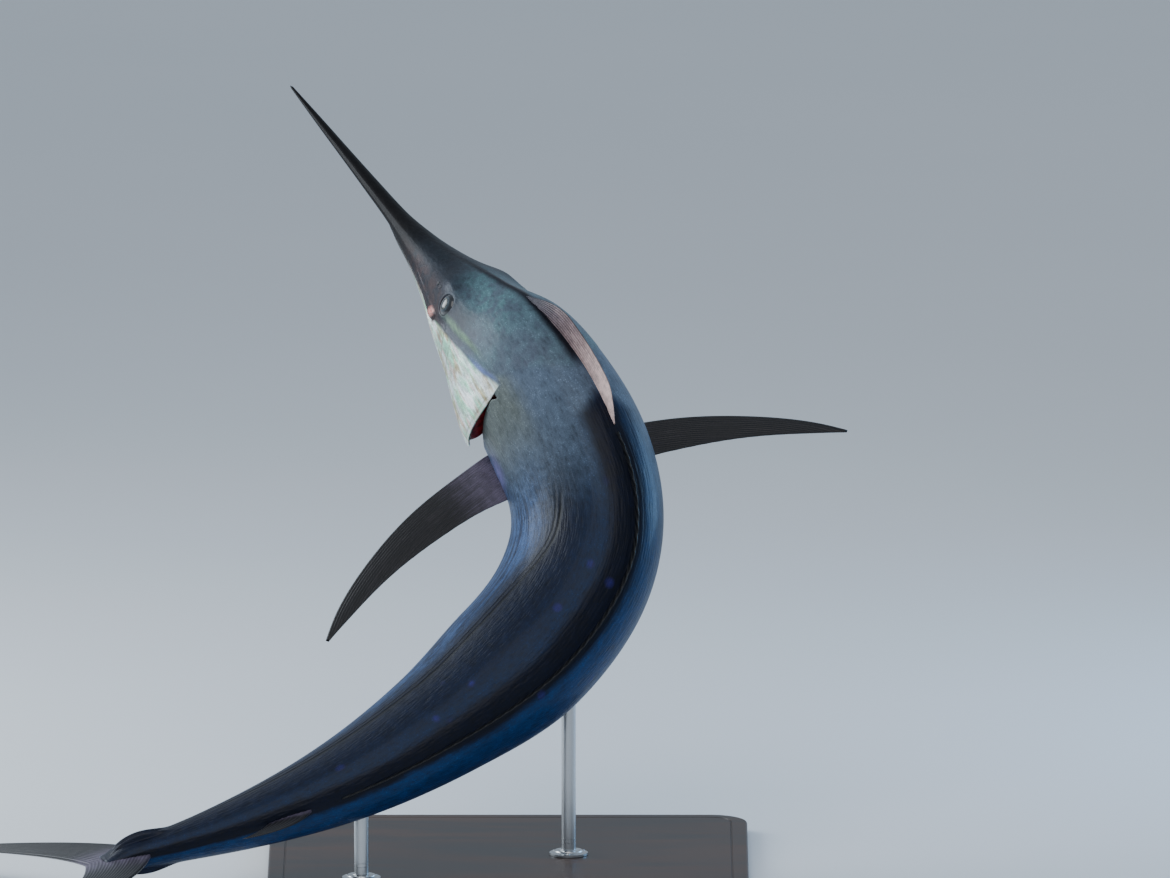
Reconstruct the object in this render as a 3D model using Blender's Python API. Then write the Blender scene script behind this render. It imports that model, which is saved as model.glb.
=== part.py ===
"""Life-size display model of a blue marlin caught at the top of a leap.

The fish bends to its left in a strong C, its back turned to the front of the model.
Every piece of it is placed from one curved body: a place is a fraction of the length
from the lower jaw to the fork of the tail, with a height towards the back and a
distance to the fish's left. Metres, +Z up, origin under the centre of the base.
"""

import math

import bmesh
import bpy
import numpy as np

# Driving sizes of the fish. A place along the body is a fraction of LENGTH, counted
# from the tip of the lower jaw, so the bill's places are negative.
LENGTH = 2.35
BILL_TIP = -0.21
BILL_END = 0.045
HEAD_END = 0.281
SHOULDER_END = 0.37
FRONT_END = 0.50
REAR_END = 0.65
AFT_END = 0.80
BODY_END = 0.985
FORK = 1.0

# Gap that parts one piece from the next, and how finely the body is faceted.
GAP = 0.0003
SIDES = 32

# The pose. Lean is the body's turn from upright in a plane tipped back by PLANE_TIP,
# tilt is how far it points away through that plane, and roll is the turn of the back
# from the model's right towards its front. All in degrees.
PLANE_TIP = 10
POSE = (
    # place, lean, tilt, roll
    (BILL_TIP, -39, 43, 50),
    (0.15, -39, 43, 50),
    (0.23, -38, 33, 53),
    (0.30, -31, 26, 58),
    (0.37, -12, 24, 62),
    (0.44, 15, 23, 62),
    (0.51, 37, 22, 66),
    (0.58, 49, 20, 68),
    (0.70, 59, 19, 72),
    (0.82, 69, 15, 75),
    (1.15, 84, 8, 80),
)
ANCHOR_PLACE = 0.35
ANCHOR = (0.145, 0.108, 0.82)

# The body's outline, in fractions of LENGTH from its middle line.
OUTLINE = (
    # place, back, belly, half width
    (BILL_TIP, 0.0008, 0.0008, 0.0009),
    (-0.15, 0.0030, 0.0028, 0.0036),
    (-0.10, 0.0045, 0.0042, 0.0055),
    (-0.05, 0.0062, 0.0055, 0.0076),
    (0.00, 0.0085, 0.0075, 0.0100),
    (0.05, 0.0160, 0.0210, 0.0165),
    (0.10, 0.0289, 0.0350, 0.0265),
    (0.14, 0.0424, 0.0460, 0.0385),
    (0.18, 0.0570, 0.0580, 0.0485),
    (0.225, 0.0760, 0.0690, 0.0560),
    (0.27, 0.0825, 0.0780, 0.0600),
    (0.35, 0.0880, 0.0860, 0.0620),
    (0.45, 0.0865, 0.0870, 0.0605),
    (0.55, 0.0835, 0.0850, 0.0600),
    (0.65, 0.0700, 0.0690, 0.0485),
    (0.75, 0.0520, 0.0510, 0.0365),
    (0.85, 0.0340, 0.0330, 0.0240),
    (0.92, 0.0220, 0.0215, 0.0160),
    (0.96, 0.0175, 0.0170, 0.0130),
    (BODY_END, 0.0165, 0.0160, 0.0040),
)

# Mouth. The line of the mouth runs from the tip of the lower jaw to its corner, at
# this height from the middle line, in fractions of LENGTH.
MOUTH_CORNER = 0.147
MOUTH_HEIGHT = -0.0062
LIP_RADIUS = 0.0026

# Eye and nostril: place, angle round the body from the back in degrees.
EYE_PLACE = 0.163
EYE_ANGLE = 62
EYE_RADIUS = 0.026
EYE_DEPTH = 0.009
EYE_FLATNESS = 0.62
NOSTRIL_PLACES = (0.131, 0.138)
NOSTRIL_ANGLE = 55
NOSTRIL_SIZE = (0.0050, 0.0022, 0.0040)

# Gill chamber, its cover and the gills in it.
CHAMBER_START = 0.188
CHAMBER_END = {"top": 0.2715, "low": 0.276}
CHAMBER_TOP = 65
CHAMBER_BOTTOM = 160
CHAMBER_DEPTH = 0.024
COVER_THICKNESS = 0.0045
COVER_FLARE = 0.029
COVER_FLARE_ANGLES = (74, 116)
COVER_RISE = 0.178
COVER_REACH = 0.269
BED_THICKNESS = 0.004
GILL_ARCHES = (0.226, 0.242, 0.258)
GILL_FILAMENTS = 10
FILAMENT_SIZE = (0.026, 0.0028, 0.011)

# Pectoral fins: root on the body, length, reach as parts forward, up and out, sweep
# back towards the tip, and twist about the reach.
PECTORAL_ROOT = 0.3127
PECTORAL_ANGLE = 126.6
PECTORAL_LENGTH = 0.2305
PECTORAL_SWEEP = 34.4
PECTORAL_REACH = {"left": (-0.085, -0.329, 0.94), "right": (-0.052, 0.215, 0.975)}
PECTORAL_TWIST = {"left": 7.3, "right": -14.6}
PECTORAL_CHORD = ((0.0, 0.0516), (0.15, 0.0435), (0.35, 0.0375), (0.6, 0.0265), (0.85, 0.0146), (1.0, 0.003))
PECTORAL_RAYS = 7
PECTORAL_THICKNESS = 0.0045

# Display stand.
BASE_SIZE = (1.00, 0.80, 0.030)
BASE_CORNER = 0.08
BASE_EDGE = 0.006
ROD_RADIUS = 0.015
ROD_PLACES = {"front": 0.475, "rear": 0.735}
COLLAR_RADIUS = 0.040
COLLAR_HEIGHT = 0.012

# Finishes: colour, roughness, metallic.
BACK = ((0.035, 0.055, 0.085), 0.32, 0.15)
HEAD = ((0.070, 0.105, 0.105), 0.34, 0.15)
BILL = ((0.030, 0.026, 0.025), 0.40, 0.0)
COVER = ((0.300, 0.360, 0.310), 0.30, 0.30)
GILL = ((0.110, 0.012, 0.016), 0.45, 0.0)
EYE = ((0.010, 0.012, 0.016), 0.08, 0.0)
FIN = ((0.028, 0.024, 0.026), 0.42, 0.0)
LOBE = ((0.240, 0.150, 0.130), 0.45, 0.0)
WOOD = ((0.045, 0.030, 0.022), 0.35, 0.0)
STEEL = ((0.560, 0.570, 0.580), 0.25, 1.0)


class Smooth:
    """A smooth curve through knots that never swings past them."""

    def __init__(self, places, values):
        self.x = np.array(places, float)
        self.y = np.array(values, float)
        step = np.diff(self.x)
        rise = np.diff(self.y) / step
        slope = np.concatenate(([rise[0]], np.zeros(len(rise) - 1), [rise[-1]]))
        for k in range(1, len(rise)):
            if rise[k - 1] * rise[k] > 0:
                before = 2 * step[k] + step[k - 1]
                after = step[k] + 2 * step[k - 1]
                slope[k] = (before + after) / (before / rise[k - 1] + after / rise[k])
        self.slope = slope

    def __call__(self, place):
        place = np.asarray(place, float)
        k = np.clip(np.searchsorted(self.x, place) - 1, 0, len(self.x) - 2)
        step = self.x[k + 1] - self.x[k]
        r = np.clip((place - self.x[k]) / step, 0, 1)
        start = (1 + 2 * r) * (1 - r) ** 2 * self.y[k] + r * (1 - r) ** 2 * step * self.slope[k]
        end = r * r * (3 - 2 * r) * self.y[k + 1] + r * r * (r - 1) * step * self.slope[k + 1]
        return start + end


POSE_PLACES, LEANS, TILTS, ROLLS = zip(*POSE)
LEAN, TILT, ROLL = (Smooth(POSE_PLACES, turns) for turns in (LEANS, TILTS, ROLLS))
OUTLINE_PLACES, BACKS, BELLIES, WIDTHS = zip(*OUTLINE)
BACK_HEIGHT, BELLY_DEPTH, HALF_WIDTH = (Smooth(OUTLINE_PLACES, v) for v in (BACKS, BELLIES, WIDTHS))


def directions(place):
    """Unit vectors at a place: towards the bill, towards the back, to the fish's left."""
    lean, tilt, roll = (np.radians(turn(place)) for turn in (LEAN, TILT, ROLL))
    zero = np.zeros_like(lean)
    bill = np.stack([np.sin(lean) * np.cos(tilt), np.cos(lean) * np.cos(tilt), -np.sin(tilt)], -1)
    side = np.stack([np.cos(lean), -np.sin(lean), zero], -1)
    front = np.cross(side, bill)
    back = np.cos(roll)[..., None] * side + np.sin(roll)[..., None] * front
    left = np.cross(back, bill)
    return tuple(upright(v) for v in (bill, back, left))


def upright(vector):
    """Turn a vector of the tipped plane (right, up, front) into the model's axes."""
    tip = math.radians(PLANE_TIP)
    x, y, z = vector[..., 0], vector[..., 1], vector[..., 2]
    return np.stack([x, y * math.sin(tip) - z * math.cos(tip), y * math.cos(tip) + z * math.sin(tip)], -1)


SPINE_PLACES = np.linspace(BILL_TIP, POSE_PLACES[-1], 1401)


def spine_points():
    """Walk along the body from its anchor and return the middle line in metres."""
    bill = directions(SPINE_PLACES)[0]
    step = (SPINE_PLACES[1] - SPINE_PLACES[0]) * LENGTH
    walk = np.zeros_like(bill)
    walk[1:] = -np.cumsum((bill[1:] + bill[:-1]) / 2 * step, axis=0)
    anchor = [np.interp(ANCHOR_PLACE, SPINE_PLACES, walk[:, k]) for k in range(3)]
    return walk - np.array(anchor) + np.array(ANCHOR)


SPINE = spine_points()


def spine(place):
    """The middle line's point at a place."""
    return np.stack([np.interp(place, SPINE_PLACES, SPINE[:, k]) for k in range(3)], -1)


def put(place, height=0.0, out=0.0):
    """Points at places, with a height to the back and a distance to the left in metres."""
    place, height, out = np.broadcast_arrays(*(np.asarray(v, float) for v in (place, height, out)))
    _, back, left = directions(place)
    return spine(place) + back * height[..., None] + left * out[..., None]


def on_skin(place, angle, lift=0.0):
    """Points on the body at an angle in degrees from the back towards the left, lifted off it."""
    place, angle, lift = np.broadcast_arrays(*(np.asarray(v, float) for v in (place, angle, lift)))
    turn = np.radians(angle)
    depth = np.where(np.cos(turn) > 0, BACK_HEIGHT(place), BELLY_DEPTH(place)) * LENGTH
    return put(place, (depth + lift) * np.cos(turn), (HALF_WIDTH(place) * LENGTH + lift) * np.sin(turn))


def skin_frame(place, angle):
    """A point on the skin with its outward, forward and round directions."""
    point = on_skin(place, angle)
    ahead = on_skin(place - 0.004, angle) - point
    round_ = on_skin(place, angle + 3) - point
    out = np.cross(ahead, round_)
    out = out / np.linalg.norm(out)
    middle = spine(place)
    if np.dot(out, point - middle) < 0:
        out = -out
    ahead = ahead / np.linalg.norm(ahead)
    return point, out, ahead, np.cross(out, ahead)


def finish(name, settings):
    """A plain material from its colour, roughness and metallic value."""
    material = bpy.data.materials.get(name)
    if material:
        return material
    colour, roughness, metallic = settings
    material = bpy.data.materials.new(name)
    material.use_nodes = True
    surface = material.node_tree.nodes["Principled BSDF"]
    surface.inputs["Base Color"].default_value = (*colour, 1)
    surface.inputs["Roughness"].default_value = roughness
    surface.inputs["Metallic"].default_value = metallic
    material.diffuse_color = (*colour, 1)
    return material


def solid(name, points, faces, settings=BACK):
    """Make an object from points and faces, with its faces turned outwards."""
    mesh = bpy.data.meshes.new(name)
    mesh.from_pydata([tuple(p) for p in points], [], faces)
    shape = bmesh.new()
    shape.from_mesh(mesh)
    bmesh.ops.recalc_face_normals(shape, faces=shape.faces)
    shape.to_mesh(mesh)
    shape.free()
    piece = bpy.data.objects.new(name, mesh)
    bpy.context.scene.collection.objects.link(piece)
    mesh.materials.append(finish(name, settings))
    return piece


def apply(piece):
    """Replace a piece's mesh by what its modifiers make of it."""
    graph = bpy.context.evaluated_depsgraph_get()
    made = bpy.data.meshes.new_from_object(piece.evaluated_get(graph))
    piece.modifiers.clear()
    piece.data = made


def cut(piece, cutter, solver="EXACT"):
    """Take a cutter's shape out of a piece."""
    boolean = piece.modifiers.new("cut", "BOOLEAN")
    boolean.operation = "DIFFERENCE"
    boolean.solver = solver
    boolean.object = cutter
    apply(piece)


def fuse(piece, extras, solver="EXACT"):
    """Join extras to a piece in one union, then remove them."""
    group = bpy.data.collections.new("extras")
    bpy.context.scene.collection.children.link(group)
    for extra in extras:
        group.objects.link(extra)
    boolean = piece.modifiers.new("fuse", "BOOLEAN")
    boolean.operation = "UNION"
    boolean.solver = solver
    boolean.operand_type = "COLLECTION"
    boolean.collection = group
    apply(piece)
    for extra in extras:
        bpy.data.objects.remove(extra)
    bpy.data.collections.remove(group)


def keep_largest(piece):
    """Keep only the closed surface with the most faces' area, in triangles."""
    shape = bmesh.new()
    shape.from_mesh(piece.data)
    bmesh.ops.remove_doubles(shape, verts=shape.verts, dist=1e-6)
    bmesh.ops.triangulate(shape, faces=shape.faces)
    shape.verts.ensure_lookup_table()
    seen = set()
    groups = []
    for start in shape.verts:
        if start in seen:
            continue
        group = {start}
        front = [start]
        while front:
            vert = front.pop()
            for edge in vert.link_edges:
                other = edge.other_vert(vert)
                if other not in group:
                    group.add(other)
                    front.append(other)
        seen |= group
        groups.append(group)

    def area(group):
        return sum(face.calc_area() for face in {f for vert in group for f in vert.link_faces})

    groups.sort(key=area)
    for group in groups[:-1]:
        bmesh.ops.delete(shape, geom=list(group), context="VERTS")
    shape.to_mesh(piece.data)
    shape.free()


def shade(piece, sharp=38):
    """Smooth shading with sharp edges past an angle in degrees."""
    piece.data.shade_smooth()
    piece.data.set_sharp_from_angle(angle=math.radians(sharp))


def loft(name, rings, settings=BACK):
    """Join rings of points into a closed solid with fan caps."""
    count = len(rings[0])
    points = [p for ring in rings for p in ring]
    faces = []
    for r in range(len(rings) - 1):
        for k in range(count):
            a, b = r * count + k, r * count + (k + 1) % count
            c, d = b + count, a + count
            faces += [(a, b, c), (a, c, d)]
    for start in (0, (len(rings) - 1) * count):
        centre = len(points)
        points.append(np.mean(rings[start // count], axis=0))
        faces += [(start + k, start + (k + 1) % count, centre) for k in range(count)]
    return solid(name, points, faces, settings)


def blade(name, left, right, settings=FIN):
    """Close two facing grids of points, rows by columns, into one thin solid."""
    rows, columns = left.shape[:2]
    size = rows * columns
    points = list(left.reshape(-1, 3)) + list(right.reshape(-1, 3))
    faces = []
    for r in range(rows - 1):
        for c in range(columns - 1):
            a = r * columns + c
            b, d = a + 1, a + columns
            e = d + 1
            faces += [(a, b, e), (a, e, d), (a + size, e + size, b + size), (a + size, d + size, e + size)]
    rim = [c for c in range(columns)]
    rim += [r * columns + columns - 1 for r in range(1, rows)]
    rim += [(rows - 1) * columns + c for c in range(columns - 2, -1, -1)]
    rim += [r * columns for r in range(rows - 2, 0, -1)]
    for a, b in zip(rim, rim[1:] + rim[:1]):
        faces += [(a, a + size, b + size), (a, b + size, b)]
    return solid(name, points, faces, settings)


def ring(place, grow=0.0, shift=0.0):
    """One section of the body, grown outwards and shifted towards the bill, in metres."""
    angles = np.arange(SIDES) * 360 / SIDES
    return on_skin(place, angles, grow) + directions(np.asarray(place, float))[0] * shift


# Where the body's sections stand: each length of it, with its number of steps.
LENGTHS = (
    ("bill", BILL_TIP, BILL_END, 7),
    ("head", BILL_END, HEAD_END, 10),
    ("shoulder", HEAD_END, SHOULDER_END, 5),
    ("trunk_front", SHOULDER_END, FRONT_END, 7),
    ("trunk_rear", FRONT_END, REAR_END, 7),
    ("trunk_aft", REAR_END, AFT_END, 5),
    ("tail_stock", AFT_END, BODY_END, 7),
)
FINISHES = {"bill": BILL, "head": HEAD}


def body_length(name, start, end, steps):
    """One length of the body, drawn in by half a gap at each parting."""
    places = np.linspace(start, end, steps + 1)
    rings = [ring(p) for p in places[1:-1]]
    first = ring(start, shift=0 if start == BILL_TIP else -GAP / 2)
    last = ring(end, shift=0 if end == BODY_END else GAP / 2)
    return loft(name, [first, *rings, last], FINISHES.get(name, BACK))


def body_guide():
    """The whole body grown by the gap: what grows from it is cut to its face."""
    places = sorted({round(p, 9) for _, a, b, n in LENGTHS for p in np.linspace(a, b, n + 1)})
    guide = loft("guide", [ring(p, grow=GAP) for p in places])
    guide.hide_render = True
    guide.display_type = "WIRE"
    return guide


def jaw_section(place, grow, top):
    """A section of the body below the line of the mouth."""
    height = MOUTH_HEIGHT * LENGTH + top
    depth = BELLY_DEPTH(place) * LENGTH + grow
    edge = math.degrees(math.acos(max(-1.0, min(0.0, height / depth))))
    arc = on_skin(place, np.linspace(edge, 360 - edge, 15), grow)
    lid = arc[-1] + (arc[0] - arc[-1]) * np.linspace(0, 1, 5)[1:-1, None]
    return np.concatenate([arc, lid])


def lower_jaw():
    """The lower jaw, closed against the bill along the line of the mouth."""
    places = np.linspace(0.004, MOUTH_CORNER, 8)
    jaw = loft("lower_jaw", [jaw_section(p, 0.0, -GAP / 2) for p in places], HEAD)
    return jaw


def jaw_room():
    """The room that the head and bill leave for the lower jaw."""
    places = np.append(np.linspace(-0.004, MOUTH_CORNER, 8), MOUTH_CORNER + GAP / LENGTH)
    return loft("jaw_room", [jaw_section(max(p, 0.0001), 0.02, GAP / 2) for p in places])


def lip(name, side, top, start, end):
    """A thin bead along one edge of the mouth."""
    places = np.linspace(start, end, 8)
    rings = []
    for p in places:
        height = MOUTH_HEIGHT * LENGTH + top * (LIP_RADIUS + GAP)
        depth = BELLY_DEPTH(p) * LENGTH
        angle = math.acos(max(-1.0, height / depth))
        centre = put(p, height, side * math.sin(angle) * HALF_WIDTH(p) * LENGTH - side * 0.0012)
        bill, back, left = directions(np.asarray(p, float))
        turns = np.linspace(0, 2 * math.pi, 6, endpoint=False)
        rings.append(centre + LIP_RADIUS * (np.cos(turns)[:, None] * back + np.sin(turns)[:, None] * left))
    return loft(name, rings, HEAD)


def egg(name, centre, axes, radii, settings=EYE, rings=8, segments=12):
    """A ball stretched along three axes."""
    mesh = bpy.data.meshes.new(name)
    shape = bmesh.new()
    bmesh.ops.create_uvsphere(shape, u_segments=segments, v_segments=rings, radius=1)
    for vert in shape.verts:
        vert.co = centre + sum(axis * radius * value for axis, radius, value in zip(axes, radii, vert.co))
    bmesh.ops.triangulate(shape, faces=shape.faces)
    bmesh.ops.recalc_face_normals(shape, faces=shape.faces)
    shape.to_mesh(mesh)
    shape.free()
    ball = bpy.data.objects.new(name, mesh)
    bpy.context.scene.collection.objects.link(ball)
    mesh.materials.append(finish(name, settings))
    return ball


def eye(name, side, grow=0.0):
    """An eye, or its socket when grown, set in the side of the head."""
    point, out, ahead, round_ = skin_frame(EYE_PLACE, side * EYE_ANGLE)
    radius = EYE_RADIUS + grow
    centre = point - out * EYE_DEPTH
    return egg(name, centre, (ahead, round_, out), (radius, radius, EYE_RADIUS * EYE_FLATNESS + grow))


def nostrils(side):
    """Two small pits in front of an eye."""
    pits = []
    for place in NOSTRIL_PLACES:
        point, out, ahead, round_ = skin_frame(place, side * NOSTRIL_ANGLE)
        pits.append(egg("nostril", point, (ahead, round_, out), NOSTRIL_SIZE, rings=4, segments=6))
    return pits


CHAMBER_ANGLES = np.linspace(CHAMBER_TOP, CHAMBER_BOTTOM, 10)


def ramp(value, start, end):
    """Ease from 0 at start to 1 at end."""
    r = np.clip((value - start) / (end - start), 0, 1)
    return r * r * (3 - 2 * r)


def chamber_grid():
    """Places and angles of the gill chamber, whose rear lies closer to the cover at the top."""
    rear = CHAMBER_END["top"] + (CHAMBER_END["low"] - CHAMBER_END["top"]) * ramp(CHAMBER_ANGLES, 82, 118)
    shares, angles = np.meshgrid(np.linspace(0, 1, 5), CHAMBER_ANGLES, indexing="ij")
    return CHAMBER_START + (rear[None, :] - CHAMBER_START) * shares, angles


def sector(name, places, angles, low, high, settings=COVER):
    """A curved block between two lifts off the skin."""
    return blade(name, on_skin(places, angles, high), on_skin(places, angles, low), settings)


def chamber(side):
    """The hollow behind a gill cover."""
    places, angles = chamber_grid()
    return sector("chamber", places, side * angles, -CHAMBER_DEPTH, 0.02)


def gill_cover(name, side):
    """A gill cover, flush in front and above and held open behind and below."""
    margin = 0.4
    angles = np.linspace(CHAMBER_TOP + margin, CHAMBER_BOTTOM - margin, 13)
    shares = np.linspace(0, 1, 7)
    start = CHAMBER_START + GAP / LENGTH
    reach = COVER_REACH - 0.075 * ramp(angles, 116, 170)
    grid_share, grid_angle = np.meshgrid(shares, angles, indexing="ij")
    place = start + (reach[None, :] - start) * grid_share
    lift = COVER_FLARE * ramp(place, COVER_RISE, COVER_REACH - 0.008) * ramp(grid_angle, *COVER_FLARE_ANGLES)
    lift = lift * (1 - 0.25 * ramp(grid_angle, 130, 160))
    outer = on_skin(place, side * grid_angle, lift)
    inner = on_skin(place, side * grid_angle, lift - COVER_THICKNESS)
    return blade(name, outer, inner, COVER)


def gills(name, side):
    """The gill arches of one side with their filaments, on the floor of the chamber."""
    floor = -CHAMBER_DEPTH + GAP
    places, angles = (grid[1:, 1:-1].copy() for grid in chamber_grid())
    places[-1] -= GAP / LENGTH * 1.5
    bed = sector(name, places, side * angles, floor, floor + BED_THICKNESS, GILL)
    long, wide, tall = FILAMENT_SIZE
    filaments = []
    for arch in GILL_ARCHES:
        for angle in np.linspace(CHAMBER_TOP + 8, CHAMBER_BOTTOM - 20, GILL_FILAMENTS):
            root, out, ahead, round_ = skin_frame(arch, side * angle)
            foot = root + out * (floor + 0.002)
            lean = ahead * 0.35 + out
            points = []
            for height, share in ((0, 1.0), (tall, 0.55)):
                for x, y in ((-1, -1), (1, -1), (1, 1), (-1, 1)):
                    points.append(foot + lean * height + ahead * (x * long / 2 * share) + round_ * (y * wide / 2))
            faces = [(0, 1, 2, 3), (4, 5, 6, 7), (0, 1, 5, 4), (1, 2, 6, 5), (2, 3, 7, 6), (3, 0, 4, 7)]
            filaments.append(solid("filament", points, faces, GILL))
    fuse(bed, filaments)
    return bed


def bow(points, share):
    """A quadratic curve through named start, control and end points."""
    start, control, end = (np.array(p, float) for p in points)
    share = np.asarray(share, float)[:, None]
    return start * (1 - share) ** 2 + 2 * control * share * (1 - share) + end * share ** 2


def ray_ridges(columns, height):
    """Ridge heights over the columns of a fin: every second column is a ray."""
    return np.where(np.arange(columns) % 2 == 1, height, 0.0)


def median_fin(name, lead, trail, rays, rows, thickness, settings=FIN, start=0.0):
    """A fin in the fish's middle plane between a leading and a trailing curve.

    The curves hold places and heights, both in fractions of LENGTH.
    """
    shares = np.linspace(start, 1, rows)
    columns = 2 * rays + 1
    across = np.linspace(0, 1, columns)[None, :, None]
    grid = bow(lead, shares)[:, None, :] * (1 - across) + bow(trail, shares)[:, None, :] * across
    lens = 0.35 + 0.65 * np.sin(np.pi * np.clip(across[..., 0] * 0.85 + 0.1, 0, 1))
    taper = (1 - shares[:, None]) * 0.8 + 0.2
    half = thickness / 2 * lens * taper + ray_ridges(columns, 0.0009)[None, :] * (1 - shares[:, None] ** 2)
    half = np.maximum(half, 0.0004)
    left = put(grid[..., 0], grid[..., 1] * LENGTH, half)
    right = put(grid[..., 0], grid[..., 1] * LENGTH, -half)
    return blade(name, left, right, settings)


def folded_fin(name, side, start, end, peak, height, rays, thickness, settings, lean=0.0):
    """A tall fin laid back along the body, its middle set off to the right by the lean."""
    places = np.linspace(start, end, 12)
    crest = Smooth((start, peak, start * 0.2 + end * 0.8, end), (0.0005, height, height * 0.90, 0.0022))
    edge = BACK_HEIGHT if side > 0 else BELLY_DEPTH
    columns = 2 * rays + 1
    share = np.linspace(0, 1, columns)[None, :]
    low = edge(places)[:, None] - 0.004
    high = edge(places)[:, None] + crest(places)[:, None]
    heights = side * LENGTH * (low + (high - low) * share)
    along = ((places - start) / (end - start))[:, None]
    half = thickness / 2 * (1 - 0.6 * share) * (1 - 0.6 * along) + ray_ridges(columns, 0.0009)[None, :]
    aside = lean * np.sin(math.pi * along)
    grid = np.broadcast_to(places[:, None], heights.shape)
    return blade(name, put(grid, heights, half - aside), put(grid, heights, -half - aside), settings)


def low_fin(name, start, end, height, rays):
    """The low hind part of the first dorsal fin, folded down, as a ridge crossed by rays."""
    places = np.linspace(start, end, 2 * rays + 1)
    rise = Smooth((start, start + 0.02, end - 0.05, end), (height * 0.6, height, height * 0.7, height * 0.3))
    foot = BACK_HEIGHT(places) - 0.003
    middle = BACK_HEIGHT(places) + rise(places) * 0.6
    top = BACK_HEIGHT(places) + rise(places)
    slant = (0.0, 0.0, 0.004)
    grid = np.stack([np.minimum(places + lean, end) for lean in slant])
    heights = np.stack([foot, middle, top]) * LENGTH
    half = np.array([0.0034, 0.0026, 0.0012])[:, None] + ray_ridges(len(places), 0.0008)[None, :]
    return blade(name, put(grid, heights, half), put(grid, heights, -half), FIN)


def pectoral_fin(name, side):
    """A long scythe-shaped fin held out from the flank."""
    sign = 1 if side == "left" else -1
    root = on_skin(PECTORAL_ROOT, sign * PECTORAL_ANGLE)
    bill, back, left = directions(np.asarray(PECTORAL_ROOT))
    forward, up, out = PECTORAL_REACH[side]
    reach = bill * forward + back * up + left * out * sign
    reach = reach / np.linalg.norm(reach)
    rear = -bill + reach * np.dot(bill, reach)
    rear = rear / np.linalg.norm(rear)
    twist = math.radians(PECTORAL_TWIST[side])
    rear = rear * math.cos(twist) + np.cross(reach, rear) * math.sin(twist)
    flat = np.cross(reach, rear)
    chord = Smooth(*zip(*PECTORAL_CHORD))
    rows, columns = 13, 2 * PECTORAL_RAYS + 1
    shares = np.linspace(-0.16, 1, rows)
    step = (shares[1] - shares[0]) * PECTORAL_LENGTH * LENGTH
    middle = root + reach * shares[0] * PECTORAL_LENGTH * LENGTH
    across = np.linspace(-0.5, 0.5, columns)[:, None]
    leafs = {1: [], -1: []}
    for share in shares:
        turn = math.radians(PECTORAL_SWEEP) * max(share, 0.0)
        along = reach * math.cos(turn) + rear * math.sin(turn)
        behind = rear * math.cos(turn) - reach * math.sin(turn)
        line = middle + behind * across * chord(max(share, 0.0)) * LENGTH
        body = np.sin(np.pi * np.clip(across + 0.62, 0.12, 0.94)) * (1 - 0.75 * max(share, 0.0))
        half = PECTORAL_THICKNESS * body + ray_ridges(columns, 0.0009)[:, None] * (1 - max(share, 0.0) ** 2)
        half = np.maximum(half, 0.0005)
        for face in leafs:
            leafs[face].append(line + flat * half * face)
        middle = middle + along * step
    return blade(name, np.array(leafs[1]), np.array(leafs[-1]), FIN)


def pelvic_fin(name, side):
    """A thin fin folded along the belly."""
    places = np.linspace(0.288, 0.43, 12)
    share = ((places - places[0]) / (places[-1] - places[0]))[:, None]
    middle = 171.0
    width = 3.2 * (1 - 0.7 * share)
    angles = middle + np.linspace(-1, 1, 5)[None, :] * width
    thick = 0.0045 - 0.0030 * share + ray_ridges(5, 0.0005)[None, :]
    grid = np.broadcast_to(places[:, None], angles.shape)
    outer = on_skin(grid, side * angles, 0.0004 + thick)
    inner = on_skin(grid, side * angles, 0.0004)
    return blade(name, outer, inner, FIN)


def keels():
    """Two low keels on each side of the tail stock."""
    made = []
    for side in (1, -1):
        for angle, start, end in ((74, 0.925, 0.972), (106, 0.925, 0.972)):
            places = np.linspace(start, end, 6)
            swell = np.sin(np.linspace(0.12, 0.92, 6) * np.pi)[:, None]
            share = np.array([-1.0, 0.0, 1.0])[None, :]
            angles = side * (angle + share * 10)
            lift = 0.013 * swell * (1 - np.abs(share))
            grid = np.broadcast_to(places[:, None], lift.shape)
            outer = on_skin(grid, angles, lift + 0.0001 * (np.abs(share) < 1))
            inner = on_skin(grid, angles, -0.006)
            outer = np.where((np.abs(share) < 1)[..., None], outer, on_skin(grid, angles, -0.002))
            made.append(blade("keel", outer, inner, BACK))
    return made


def tail_lobe(name, side):
    """One lobe of the crescent tail fin, parted from the other along the middle line."""
    foot = side * GAP / 2 / LENGTH
    lead = ((0.938, foot), (0.978, side * 0.125), (1.105, side * 0.205))
    trail = ((FORK, foot), (1.014, side * 0.085), (1.112, side * 0.203))
    return median_fin(name, lead, trail, 7, 11, 0.013)


def second_fin(name, side, start):
    """A small second dorsal or anal fin with a drawn-out hind tip."""
    edge = BACK_HEIGHT if side > 0 else BELLY_DEPTH
    root = float(edge(start)) - 0.004
    hind = float(edge(start + 0.04)) - 0.004
    lead = ((start, side * root), (start + 0.018, side * (root + 0.040)), (start + 0.066, side * (hind + 0.026)))
    trail = ((start + 0.04, side * hind), (start + 0.044, side * (hind + 0.014)), (start + 0.070, side * (hind + 0.022)))
    return median_fin(name, lead, trail, 5, 8, 0.008)


def rod(name, place):
    """An upright rod from a collar on the base up to the body."""
    foot = spine(place)
    bottom = BASE_SIZE[2] + GAP
    height = foot[2] - bottom
    mesh = bpy.data.meshes.new(name)
    shape = bmesh.new()
    bmesh.ops.create_cone(shape, cap_ends=True, segments=24, radius1=ROD_RADIUS, radius2=ROD_RADIUS, depth=height)
    shape.to_mesh(mesh)
    shape.free()
    piece = bpy.data.objects.new(name, mesh)
    piece.location = (foot[0], foot[1], bottom + height / 2)
    bpy.context.scene.collection.objects.link(piece)
    mesh.materials.append(finish(name, STEEL))
    bpy.context.view_layer.update()
    return piece


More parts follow.
